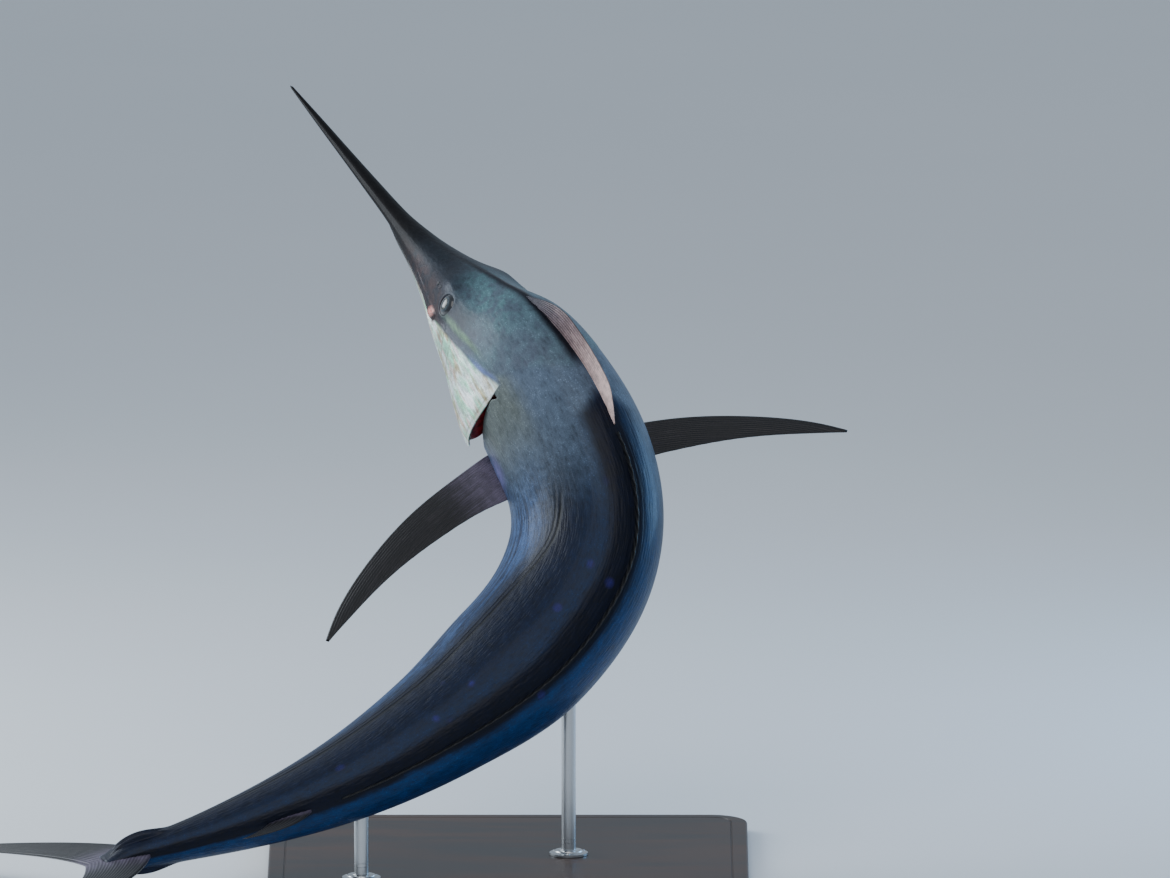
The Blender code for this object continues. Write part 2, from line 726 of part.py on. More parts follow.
def collar(name, place):
    """A turned collar round the foot of a rod."""
    foot = spine(place)
    profile = (
        (ROD_RADIUS + GAP, 0),
        (COLLAR_RADIUS, 0),
        (COLLAR_RADIUS, COLLAR_HEIGHT * 0.55),
        (COLLAR_RADIUS * 0.62, COLLAR_HEIGHT),
        (ROD_RADIUS + GAP, COLLAR_HEIGHT),
    )
    bottom = BASE_SIZE[2] + GAP
    points = []
    faces = []
    segments, count = 24, len(profile)
    for k in range(segments):
        turn = 2 * math.pi * k / segments
        for radius, height in profile:
            points.append((foot[0] + radius * math.cos(turn), foot[1] + radius * math.sin(turn), bottom + height))
        for j in range(count):
            a, b = k * count + j, k * count + (j + 1) % count
            c, d = (b + count) % (segments * count), (a + count) % (segments * count)
            faces.append((a, b, c, d))
    return solid(name, points, faces, STEEL)


def stand_base():
    """A flat board with rounded corners and a softened edge."""
    long, deep, thick = BASE_SIZE
    outline = []
    for cx, cy, first in ((1, 1, 0), (-1, 1, 90), (-1, -1, 180), (1, -1, 270)):
        for turn in np.linspace(first, first + 90, 7):
            angle = math.radians(turn)
            x = cx * (long / 2 - BASE_CORNER) + BASE_CORNER * math.cos(angle)
            y = cy * (deep / 2 - BASE_CORNER) + BASE_CORNER * math.sin(angle)
            outline.append((x, y))
    outline = np.array(outline)
    centre_pull = 1 - BASE_EDGE / np.linalg.norm(outline, axis=1)[:, None]
    heights = ((0, outline), (thick - BASE_EDGE, outline), (thick, outline * centre_pull))
    rings = [np.column_stack([line, np.full(len(line), height)]) for height, line in heights]
    return loft("stand_base", rings, WOOD)


def build_head(pieces):
    """Open the head for the jaw, eyes, nostrils and gills, and add its lips."""
    head, bill, jaw = pieces["head"], pieces["bill"], pieces["lower_jaw"]
    corner = MOUTH_CORNER - 0.002
    for side in (1, -1):
        fuse(head, [lip("lip", side, 1, BILL_END + 0.004, corner)])
        fuse(jaw, [lip("lip", side, -1, 0.012, corner - 0.003)])
    cutters = [jaw_room()]
    for side in (1, -1):
        cutters += [eye("socket", side, GAP), chamber(side), *nostrils(side)]
    for cutter in cutters:
        cut(head, cutter)
    cut(bill, cutters[0])
    for cutter in cutters:
        bpy.data.objects.remove(cutter)


def build():
    """Make every piece of the model."""
    for old in list(bpy.data.objects):
        bpy.data.objects.remove(old)
    pieces = {name: body_length(name, start, end, steps) for name, start, end, steps in LENGTHS}
    pieces["lower_jaw"] = lower_jaw()
    build_head(pieces)
    fuse(pieces["tail_stock"], keels())

    for word, side in (("left", 1), ("right", -1)):
        pieces[f"eye_{word}"] = eye(f"eye_{word}", side)
        pieces[f"gill_cover_{word}"] = gill_cover(f"gill_cover_{word}", side)
        pieces[f"gills_{word}"] = gills(f"gills_{word}", side)
        pieces[f"pelvic_fin_{word}"] = pelvic_fin(f"pelvic_fin_{word}", side)

    rooted = {
        "dorsal_fin_front": folded_fin(
            "dorsal_fin_front", 1, 0.218, 0.355, 0.270, 0.0235, 4, 0.007, LOBE, lean=0.0075
        ),
        "dorsal_fin_rear": low_fin("dorsal_fin_rear", 0.361, 0.775, 0.0045, 18),
        "second_dorsal_fin": second_fin("second_dorsal_fin", 1, 0.800),
        "anal_fin_first": folded_fin("anal_fin_first", -1, 0.600, 0.735, 0.640, 0.0260, 3, 0.008, FIN),
        "anal_fin_second": second_fin("anal_fin_second", -1, 0.792),
        "tail_fin_upper": tail_lobe("tail_fin_upper", 1),
        "tail_fin_lower": tail_lobe("tail_fin_lower", -1),
        "pectoral_fin_left": pectoral_fin("pectoral_fin_left", "left"),
        "pectoral_fin_right": pectoral_fin("pectoral_fin_right", "right"),
    }
    for word, place in ROD_PLACES.items():
        rooted[f"stand_rod_{word}"] = rod(f"stand_rod_{word}", place)
        pieces[f"stand_collar_{word}"] = collar(f"stand_collar_{word}", place)
    guide = body_guide()
    for piece in rooted.values():
        cut(piece, guide)
    bpy.data.objects.remove(guide)
    pieces.update(rooted)
    pieces["stand_base"] = stand_base()

    for piece in pieces.values():
        keep_largest(piece)
        shade(piece)


build()
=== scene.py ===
"""Looks of the life-size blue marlin: its skin, head, gills, eyes and fins, its stand and the studio.

Every piece takes its place from one curved body, as the solids do. A place is a fraction
of the length from the lower jaw to the fork of the tail, and a turn is an angle in
degrees round the body, 0 along the back and 180 along the belly. Metres throughout.
"""

import logging
import math
from dataclasses import dataclass, field
from enum import Enum
from typing import Callable, ClassVar, Optional, Union

import bpy
import numpy as np
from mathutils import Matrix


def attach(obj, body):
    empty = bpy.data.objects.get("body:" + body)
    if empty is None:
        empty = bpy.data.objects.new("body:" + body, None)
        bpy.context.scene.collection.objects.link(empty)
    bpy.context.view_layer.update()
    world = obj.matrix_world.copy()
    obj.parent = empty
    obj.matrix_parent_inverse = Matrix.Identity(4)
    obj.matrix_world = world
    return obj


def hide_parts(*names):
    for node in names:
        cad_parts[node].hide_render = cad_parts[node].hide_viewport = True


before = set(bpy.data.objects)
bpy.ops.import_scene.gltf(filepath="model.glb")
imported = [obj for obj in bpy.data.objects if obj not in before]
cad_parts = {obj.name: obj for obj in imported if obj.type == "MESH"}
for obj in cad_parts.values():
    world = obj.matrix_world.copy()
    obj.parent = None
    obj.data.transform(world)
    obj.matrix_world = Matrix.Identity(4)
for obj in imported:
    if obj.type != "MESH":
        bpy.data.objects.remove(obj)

log = logging.getLogger("marlin")
Colour = tuple[float, float, float]
Point = tuple[float, float, float]
Pair = tuple[float, float]
Grid = np.ndarray


class Side(Enum):
    """A side of the fish, as the sign of its distance from the middle plane."""

    LEFT = 1
    RIGHT = -1

    @property
    def word(self) -> str:
        """The side's name in lower case."""
        return self.name.lower()


def ramp(value: Grid, start: float, end: float) -> Grid:
    """Ease from 0 where a value is start to 1 where it is end."""
    share = np.clip((np.asarray(value, float) - start) / (end - start), 0, 1)
    return share * share * (3 - 2 * share)


def between(value: Grid, start: float, full: float, fade: float, end: float) -> Grid:
    """Ease up to 1 from start to full, and down again from fade to end."""
    return ramp(value, start, full) * (1 - ramp(value, fade, end))


def bell(value: Grid, middle: float, width: float) -> Grid:
    """A smooth bump of height 1 round a middle value, fallen to a third a width away."""
    return np.exp(-(((np.asarray(value, float) - middle) / width) ** 2))


def srgb(red: int, green: int, blue: int) -> Colour:
    """A colour as the eye names it, from 0 to 255, turned into linear light from 0 to 1."""
    shares = (red / 255, green / 255, blue / 255)
    return tuple(c / 12.92 if c <= 0.04045 else ((c + 0.055) / 1.055) ** 2.4 for c in shares)


class Smooth:
    """A smooth curve through knots that never swings past them."""

    def __init__(self, places: tuple[float, ...], values: tuple[float, ...]) -> None:
        """Work out the slope at each knot.

        Args:
            places: rising positions of the knots.
            values: the curve's value at each.
        """
        self.x = np.array(places, float)
        self.y = np.array(values, float)
        step = np.diff(self.x)
        rise = np.diff(self.y) / step
        slope = np.concatenate(([rise[0]], np.zeros(len(rise) - 1), [rise[-1]]))
        for k in range(1, len(rise)):
            if rise[k - 1] * rise[k] > 0:
                before = 2 * step[k] + step[k - 1]
                after = step[k] + 2 * step[k - 1]
                slope[k] = (before + after) / (before / rise[k - 1] + after / rise[k])
        self.slope = slope

    def __call__(self, place: Grid) -> Grid:
        """Read the curve.

        Args:
            place: places of any shape.

        Returns:
            The curve's values there.
        """
        place = np.asarray(place, float)
        k = np.clip(np.searchsorted(self.x, place) - 1, 0, len(self.x) - 2)
        step = self.x[k + 1] - self.x[k]
        r = np.clip((place - self.x[k]) / step, 0, 1)
        start = (1 + 2 * r) * (1 - r) ** 2 * self.y[k] + r * (1 - r) ** 2 * step * self.slope[k]
        end = r * r * (3 - 2 * r) * self.y[k + 1] + r * r * (r - 1) * step * self.slope[k + 1]
        return start + end


@dataclass
class Body:
    """The fish's curved body: its pose and its outline."""

    length: float = 2.35
    bill_tip: float = -0.21
    plane_tip: float = 10.0
    anchor_place: float = 0.35
    anchor: Point = (0.145, 0.108, 0.82)
    pose: tuple[tuple[float, ...], ...] = (
        # place, lean from upright, tilt away from the camera, roll of the back to the camera
        (-0.21, -39, 43, 50),
        (0.15, -39, 43, 50),
        (0.23, -38, 33, 53),
        (0.30, -31, 26, 58),
        (0.37, -12, 24, 62),
        (0.44, 15, 23, 62),
        (0.51, 37, 22, 66),
        (0.58, 49, 20, 68),
        (0.70, 59, 19, 72),
        (0.82, 69, 15, 75),
        (1.15, 84, 8, 80),
    )
    outline: tuple[tuple[float, ...], ...] = (
        # place, back, belly, half width, in fractions of the length
        (-0.21, 0.0008, 0.0008, 0.0009),
        (-0.15, 0.0030, 0.0028, 0.0036),
        (-0.10, 0.0045, 0.0042, 0.0055),
        (-0.05, 0.0062, 0.0055, 0.0076),
        (0.00, 0.0085, 0.0075, 0.0100),
        (0.05, 0.0160, 0.0210, 0.0165),
        (0.10, 0.0289, 0.0350, 0.0265),
        (0.14, 0.0424, 0.0460, 0.0385),
        (0.18, 0.0570, 0.0580, 0.0485),
        (0.225, 0.0760, 0.0690, 0.0560),
        (0.27, 0.0825, 0.0780, 0.0600),
        (0.35, 0.0880, 0.0860, 0.0620),
        (0.45, 0.0865, 0.0870, 0.0605),
        (0.55, 0.0835, 0.0850, 0.0600),
        (0.65, 0.0700, 0.0690, 0.0485),
        (0.75, 0.0520, 0.0510, 0.0365),
        (0.85, 0.0340, 0.0330, 0.0240),
        (0.92, 0.0220, 0.0215, 0.0160),
        (0.96, 0.0175, 0.0170, 0.0130),
        (0.985, 0.0165, 0.0160, 0.0040),
    )
    curves: dict[str, Smooth] = field(init=False)
    walk_places: Grid = field(init=False)
    walk: Grid = field(init=False)

    def __post_init__(self) -> None:
        """Fit the curves and walk the middle line out from its anchor."""
        pose_places, *turns = zip(*self.pose)
        outline_places, *sizes = zip(*self.outline)
        self.curves = {word: Smooth(pose_places, v) for word, v in zip(("lean", "tilt", "roll"), turns)}
        for word, values in zip(("back", "belly", "half_width"), sizes):
            self.curves[word] = Smooth(outline_places, values)
        self.walk_places = np.linspace(self.bill_tip, pose_places[-1], 1401)
        bill = self.directions(self.walk_places)[0]
        step = (self.walk_places[1] - self.walk_places[0]) * self.length
        walk = np.zeros_like(bill)
        walk[1:] = -np.cumsum((bill[1:] + bill[:-1]) / 2 * step, axis=0)
        middle = [np.interp(self.anchor_place, self.walk_places, walk[:, k]) for k in range(3)]
        self.walk = walk - np.array(middle) + np.array(self.anchor)

    def upright(self, vector: Grid) -> Grid:
        """Turn vectors of the tipped plane into the model's axes.

        Args:
            vector: vectors as right, up and front.

        Returns:
            The same vectors in the model's axes.
        """
        tip = math.radians(self.plane_tip)
        x, y, z = vector[..., 0], vector[..., 1], vector[..., 2]
        back = y * math.sin(tip) - z * math.cos(tip)
        return np.stack([x, back, y * math.cos(tip) + z * math.sin(tip)], -1)

    def directions(self, place: Grid) -> tuple[Grid, Grid, Grid]:
        """Say how the body faces at places.

        Args:
            place: places along the body.

        Returns:
            Unit vectors towards the bill, towards the back and to the fish's left.
        """
        lean, tilt, roll = (np.radians(self.curves[word](place)) for word in ("lean", "tilt", "roll"))
        zero = np.zeros_like(lean)
        bill = np.stack([np.sin(lean) * np.cos(tilt), np.cos(lean) * np.cos(tilt), -np.sin(tilt)], -1)
        side = np.stack([np.cos(lean), -np.sin(lean), zero], -1)
        front = np.cross(side, bill)
        back = np.cos(roll)[..., None] * side + np.sin(roll)[..., None] * front
        left = np.cross(back, bill)
        return self.upright(bill), self.upright(back), self.upright(left)

    def spine(self, place: Grid) -> Grid:
        """Points of the middle line at places."""
        return np.stack([np.interp(place, self.walk_places, self.walk[:, k]) for k in range(3)], -1)

    def put(self, place: Grid, height: Grid, out: Grid) -> Grid:
        """Find points from where they lie on the fish.

        Args:
            place: places along the body.
            height: distances from the middle line towards the back in metres.
            out: distances to the left in metres.

        Returns:
            The points.
        """
        place, height, out = np.broadcast_arrays(*(np.asarray(v, float) for v in (place, height, out)))
        _, back, left = self.directions(place)
        return self.spine(place) + back * height[..., None] + left * out[..., None]

    def section(self, place: Grid, turn: Grid, lift: Grid) -> tuple[Grid, Grid]:
        """Height and distance to the left of points lifted off the plain skin.

        Args:
            place: places along the body.
            turn: signed turns in degrees, positive to the fish's left.
            lift: distances off the skin in metres.

        Returns:
            The heights and the distances to the left, in metres.
        """
        angle = np.radians(turn)
        upper = self.curves["back"](place)
        lower = self.curves["belly"](place)
        depth = np.where(np.cos(angle) > 0, upper, lower) * self.length
        width = self.curves["half_width"](place) * self.length
        return (depth + lift) * np.cos(angle), (width + lift) * np.sin(angle)

    def on_skin(self, place: Grid, turn: Grid, lift: Grid = 0.0) -> Grid:
        """Points lifted off the plain skin at places and signed turns."""
        place, turn, lift = np.broadcast_arrays(*(np.asarray(v, float) for v in (place, turn, lift)))
        return self.put(place, *self.section(place, turn, lift))

    def stretch(self, place: Grid, turn: Grid) -> Grid:
        """Measure the skin round the body.

        Args:
            place: places along the body.
            turn: turns in degrees.

        Returns:
            Metres of skin for each degree of turn.
        """
        angle = np.radians(turn)
        depth = np.where(np.cos(angle) > 0, self.curves["back"](place), self.curves["belly"](place))
        width = self.curves["half_width"](place)
        return np.hypot(depth * np.sin(angle), width * np.cos(angle)) * self.length * math.pi / 180

    def frame_at(
        self, place: float, turn: float, step: float = 0.004, swing: float = 3.0
    ) -> tuple[Grid, Grid, Grid, Grid]:
        """Say how the skin faces at a point.

        Args:
            place: the point's place.
            turn: its signed turn in degrees.
            step: how far ahead the next point is that gives the forward direction.
            swing: how many degrees on the one is that gives the way round.

        Returns:
            The point and its outward, forward and round directions.
        """
        point = self.on_skin(place, turn)
        ahead = self.on_skin(place - step, turn) - point
        round_ = self.on_skin(place, turn + swing) - point
        out = np.cross(ahead, round_)
        out = out / np.linalg.norm(out)
        if np.dot(out, point - self.spine(place)) < 0:
            out = -out
        ahead = ahead / np.linalg.norm(ahead)
        return point, out, ahead, np.cross(out, ahead)


BODY = Body()


def deselect() -> None:
    """Leave nothing selected."""
    if bpy.context.object and bpy.context.object.mode != "OBJECT":
        bpy.ops.object.mode_set(mode="OBJECT")
    bpy.ops.object.select_all(action="DESELECT")


def named(name: str) -> bpy.types.Object:
    """Name the active piece and its mesh."""
    bpy.context.active_object.name = bpy.context.active_object.data.name = name
    return bpy.context.active_object


def woven(name: str, points: Grid) -> bpy.types.Object:
    """Lay a grid and draw each of its points to its place.

    Args:
        name: the piece's name.
        points: rows by columns of points in metres.

    Returns:
        The new piece, still open along its edges.
    """
    rows, columns = points.shape[:2]
    deselect()
    bpy.ops.mesh.primitive_grid_add(x_subdivisions=columns - 1, y_subdivisions=rows - 1, size=1)
    piece = named(name)
    piece.data.vertices.foreach_set("co", np.ascontiguousarray(points, dtype=np.float32).ravel())
    return piece


def store(piece: bpy.types.Object, name: str, values: Grid) -> None:
    """Keep one number, or one vector, with each point of a piece.

    Args:
        piece: a piece whose points are still in their first order.
        name: the map's name.
        values: a number for each point, or rows by columns of vectors of three.
    """
    vector = values.ndim == 3
    made = piece.data.attributes.new(name, "FLOAT_VECTOR" if vector else "FLOAT", "POINT")
    flat = np.ascontiguousarray(values, dtype=np.float32).ravel()
    made.data.foreach_set("vector" if vector else "value", flat)


def store_map(piece: bpy.types.Object, across: Grid, along: Grid) -> None:
    """Keep a flat map that follows a piece's grid.

    Args:
        piece: a piece whose points are still in the order of its grid.
        across: rows by columns of the map's first number.
        along: rows by columns of its second number.
    """
    corners = np.empty(len(piece.data.loops), dtype=np.int32)
    piece.data.loops.foreach_get("vertex_index", corners)
    flat = np.stack([across.ravel(), along.ravel()], -1)[corners]
    piece.data.uv_layers[0].data.foreach_set("uv", flat.astype(np.float32).ravel())


def sealed(piece: bpy.types.Object, distance: float = 2e-6) -> bpy.types.Object:
    """Merge the points that meet, turn the faces out and shade them smooth.

    Args:
        piece: a piece whose edges lie on each other.
        distance: how near points have to be to be one.

    Returns:
        The same piece.
    """
    deselect()
    piece.select_set(True)
    bpy.context.view_layer.objects.active = piece
    bpy.ops.object.mode_set(mode="EDIT")
    bpy.ops.mesh.select_all(action="SELECT")
    bpy.ops.mesh.remove_doubles(threshold=distance)
    bpy.ops.mesh.select_all(action="SELECT")
    bpy.ops.mesh.normals_make_consistent(inside=False)
    bpy.ops.object.mode_set(mode="OBJECT")
    bpy.ops.object.shade_smooth()
    return piece


def joined(pieces: list[bpy.types.Object], name: str) -> bpy.types.Object:
    """Join pieces into one and merge the points that meet.

    Args:
        pieces: the pieces.
        name: the name of the whole.

    Returns:
        The joined piece.
    """
    deselect()
    for piece in pieces:
        piece.select_set(True)
    bpy.context.view_layer.objects.active = pieces[0]
    bpy.ops.object.join()
    return sealed(named(name), 1e-5)


def blade(name: str, left: Grid, right: Grid, across: Grid, along: Grid) -> bpy.types.Object:
    """Close two facing grids of points into one thin piece with a map along its rays.

    Args:
        name: the piece's name.
        left: rows by columns of points on one face.
        right: the same on the other face.
        across: ray numbers over the grid.
        along: shares of the way from root to tip over the grid.

    Returns:
        The closed piece.
    """
    points = np.concatenate([left, right[:, ::-1], left[:, :1]], axis=1)
    middle = (left + right) / 2
    for row in (0, -1):
        points[row] = np.concatenate([middle[row], middle[row, ::-1], middle[row, :1]])
    piece = woven(name, points)
    turned = [np.concatenate([v, v[:, ::-1], v[:, :1]], axis=1) for v in (across, along)]
    store_map(piece, *turned)
    return sealed(piece)


def ridges(across: Grid, height: float) -> Grid:
    """Ridge heights over ray numbers: one smooth ridge for each ray."""
    return height * np.sin(np.pi * across) ** 4


Value = Union[float, int, "Wire"]
Tint = Union["Wire", Colour]


def arithmetic(operation: str, swapped: bool = False) -> Callable[["Wire", Value], "Wire"]:
    """Make a wire's method that adds one Math node.

    Args:
        operation: what the node works out.
        swapped: whether the other value comes first.

    Returns:
        The method.
    """

    def method(self: "Wire", other: Value) -> "Wire":
        """Join this value and another."""
        pair = (other, self) if swapped else (self, other)
        return self.shader.node("Math", {"operation": operation}, dict(enumerate(pair)))

    return method


class Wire:
    """One output of a shader node. Sums with it add Math nodes."""

    def __init__(self, shader: "Shader", socket: bpy.types.NodeSocket) -> None:
        """Keep the shader and the output socket."""
        self.shader = shader
        self.socket = socket

    __add__ = arithmetic("ADD")
    __radd__ = arithmetic("ADD", swapped=True)
    __sub__ = arithmetic("SUBTRACT")
    __rsub__ = arithmetic("SUBTRACT", swapped=True)
    __mul__ = arithmetic("MULTIPLY")
    __rmul__ = arithmetic("MULTIPLY", swapped=True)
    __truediv__ = arithmetic("DIVIDE")
    __pow__ = arithmetic("POWER")
    largest = arithmetic("MAXIMUM")

    def size(self) -> "Wire":
        """This value without its sign."""
        return self.shader.node("Math", {"operation": "ABSOLUTE"}, {0: self})

    def wave(self) -> "Wire":
        """The sine of this value."""
        return self.shader.node("Math", {"operation": "SINE"}, {0: self})

    def rise(self, start: Value, end: Value) -> "Wire":
        """Ease from 0 where this value is start to 1 where it is end."""
        sockets = {"Value": self, "From Min": start, "From Max": end}
        return self.shader.node("MapRange", {"interpolation_type": "SMOOTHSTEP"}, sockets)

    def near(self, middle: float, width: float) -> "Wire":
        """A bump of height 1 round a middle value that ends a width away."""
        return 1 - (self - middle).size().rise(0.0, width)


class Shader:
    """One material's nodes, built up from values and colours."""

    def __init__(self, name: str) -> None:
        """Start a material with the usual surface.

        Args:
            name: the material's name.
        """
        self.material = bpy.data.materials.new(name)
        self.material.use_nodes = True
        self.tree = self.material.node_tree
        self.surface = self.tree.nodes["Principled BSDF"]

    def node(
        self, kind: str, settings: Optional[dict] = None, sockets: Optional[dict] = None, output: int = 0
    ) -> Wire:
        """Add a node.

        Args:
            kind: the node's type, without its usual prefix.
            settings: its options.
            sockets: values or wires for its inputs, by name or number.
            output: which output to use.

        Returns:
            The chosen output.
        """
        made = self.tree.nodes.new("ShaderNode" + kind)
        for name, value in (settings or {}).items():
            setattr(made, name, value)
        for key, value in (sockets or {}).items():
            self.feed(made.inputs[key], value)
        return Wire(self, made.outputs[output])

    def feed(self, socket: bpy.types.NodeSocket, value: Union[Value, Colour]) -> None:
        """Link a wire to an input, or set the input's number or colour.

        Args:
            socket: the input.
            value: the wire, number or colour.
        """
        if isinstance(value, Wire):
            self.tree.links.new(value.socket, socket)
        elif isinstance(value, tuple) and socket.type == "RGBA":
            socket.default_value = (*value, 1)
        else:
            socket.default_value = value

    def spot(self) -> Wire:
        """Where a point is on the piece, in metres."""
        return self.node("TexCoord", output=3)

    def stored(self, name: str, vector: bool = False) -> Wire:
        """A number or vector that a piece keeps with its points."""
        return self.node("Attribute", {"attribute_name": name}, output=1 if vector else 2)

    def parts(self, vector: Wire) -> tuple[Wire, ...]:
        """A vector's three numbers."""
        outputs = self.node("SeparateXYZ", sockets={0: vector}).socket.node.outputs
        return tuple(Wire(self, output) for output in outputs)

    def joined(self, x: Value, y: Value, z: Value = 0.0) -> Wire:
        """A vector of three numbers."""
        return self.node("CombineXYZ", sockets={0: x, 1: y, 2: z})

    def scaled(self, vector: Wire, scale: Point) -> Wire:
        """A vector stretched along its axes."""
        return self.node("Mapping", sockets={"Vector": vector, "Scale": scale})

    def noise(self, vector: Wire, scale: float, detail: float = 3.0, rough: float = 0.55) -> Wire:
        """Cloudy values round a half."""
        sockets = {"Vector": vector, "Scale": scale, "Detail": detail, "Roughness": rough}
        return self.node("TexNoise", sockets=sockets)

    def cells(self, vector: Wire, scale: float) -> Wire:
        """Distances to the nearest of scattered points."""
        return self.node("TexVoronoi", sockets={"Vector": vector, "Scale": scale})

    def distance(self, vector: Wire, point: Point) -> Wire:
        """How far a vector is from a point."""
        return self.node("VectorMath", {"operation": "DISTANCE"}, {0: vector, 1: point}, output=1)

    def mix(self, share: Value, first: Tint, second: Tint) -> Wire:
        """A colour between two colours."""
        settings = {"data_type": "RGBA", "clamp_factor": True}
        return self.node("Mix", settings, {0: share, 6: first, 7: second}, output=2)

    def layered(self, colour: Tint, *layers: tuple[Value, Tint]) -> Wire:
        """Lay colours over a colour.

        Args:
            colour: the lowest colour.
            layers: pairs of a share and the colour laid on by that share.

        Returns:
            The colour that shows.
        """
        for share, over in layers:
            colour = self.mix(share, colour, over)
        return colour

    def shade(self, colour: Wire, value: Value) -> Wire:
        """A colour made lighter or darker by a value round 1."""
        return self.node("VectorMath", {"operation": "SCALE"}, {0: colour, "Scale": value})

    def bump(self, height: Wire, distance: float, strength: float = 1.0) -> Wire:
        """A surface direction tipped by a height."""
        return self.node("Bump", sockets={"Height": height, "Distance": distance, "Strength": strength})

    def finish(self, **sockets: Union[Value, Colour]) -> bpy.types.Material:
        """Set the surface's inputs.

        Args:
            sockets: values for the inputs, whose names are written with underscores.

        Returns:
            The material.
        """
        for name, value in sockets.items():
            title = name.replace("_", " ").title().replace("Ior", "IOR")
            self.feed(self.surface.inputs[title], value)
        return self.material


@dataclass(frozen=True)
class HeadPlan:
    """Where the head's features lie on the body."""

    mouth_corner: float = 0.147
    mouth_height: float = -0.0062
    eye_place: float = 0.163
    eye_turn: float = 62.0
    eye_radius: float = 0.026
    eye_depth: float = 0.009
    eye_flatness: float = 0.62
    nostril_places: Pair = (0.131, 0.138)
    nostril_turn: float = 55.0
    # Where the scaled skin begins on the back, and how much sooner with each degree of turn.
    scale_places: Pair = (0.304, 0.309)
    scale_slant: float = 0.0007
    ridge: tuple[Pair, ...] = (
        (0.147, 97.0),
        (0.158, 86.0),
        (0.205, 76.0),
        (0.243, 70.0),
        (0.265, 64.0),
        (0.300, 60.0),
    )

    def mouth_turn(self, place: Grid) -> Grid:
        """The turn of the line of the mouth at places."""
        held = np.clip(place, 0.0, self.mouth_corner)
        return np.degrees(np.arccos(np.clip(self.mouth_height / BODY.curves["belly"](held), -1, 0)))

    def ridge_turn(self, place: Grid) -> Grid:
        """The turn of the cheek's upper edge, which runs on from the line of the mouth."""
        behind = Smooth(*zip(*self.ridge))(place)
        return np.where(place < self.mouth_corner, self.mouth_turn(place), behind)


HEAD = HeadPlan()


@dataclass(frozen=True)
class GillPlan:
    """The gill cover, the opening behind it and the hollow under it."""

    start: float = 0.188
    rear_top: float = 0.2707
    rear_low: float = 0.2762
    rear_turns: Pair = (82.0, 118.0)
    beyond: float = 0.2771
    top: float = 73.0
    bottom: float = 160.0
    floor: float = -0.0225
    edge_radius: float = 0.0021
    flare: float = 0.029
    flare_places: Pair = (0.178, 0.261)
    flare_turns: Pair = (74.0, 116.0)
    hug: float = 0.25
    hug_turns: Pair = (130.0, 160.0)
    reach: float = 0.269
    retreat: float = 0.075
    retreat_turns: Pair = (116.0, 170.0)
    pocket: float = 0.055
    roof_drop: float = 0.006
    wall: float = 0.003
    sunk: float = 0.0008

    def opened(self, turn: Grid) -> Grid:
        """1 where the cover stands free and 0 where the skin runs on past it."""
        return between(turn, self.top - 3, self.top + 4, self.bottom - 6, self.bottom + 2)

    def edge(self, turn: Grid) -> Grid:
        """The place of the cover's rear edge."""
        return self.reach - self.retreat * ramp(turn, *self.retreat_turns)

    def rear(self, turn: Grid) -> Grid:
        """The place of the body's edge behind the opening."""
        return self.rear_top + (self.rear_low - self.rear_top) * ramp(turn, *self.rear_turns)

    def lift(self, place: Grid, turn: Grid) -> Grid:
        """How far the cover is held out, in metres."""
        held = self.flare * ramp(place, *self.flare_places) * ramp(turn, *self.flare_turns)
        return held * (1 - self.hug * ramp(turn, *self.hug_turns))


GILL = GillPlan()


class Fold(Enum):
    """The lengths that the skin runs through at the gill cover, with their numbers of rows."""

    OUTER = 34
    RIM = 8
    INNER = 10
    TURN = 5
    FLOOR = 11
    WALL = 6
    BEYOND = 4


# The maps that the skin keeps with its points for its finish. The turn is in degrees, and hollow is
# 1 inside the gill opening. The others are metres: before the cover's edge, from the fold at the
# mouth's corner, and past the mouth's line, the cheek plate, the cheek's upper edge and the lateral line.
SKIN_MAPS = ("turn", "hollow", "rim", "corner", "mouth", "plate", "ridge", "lateral")


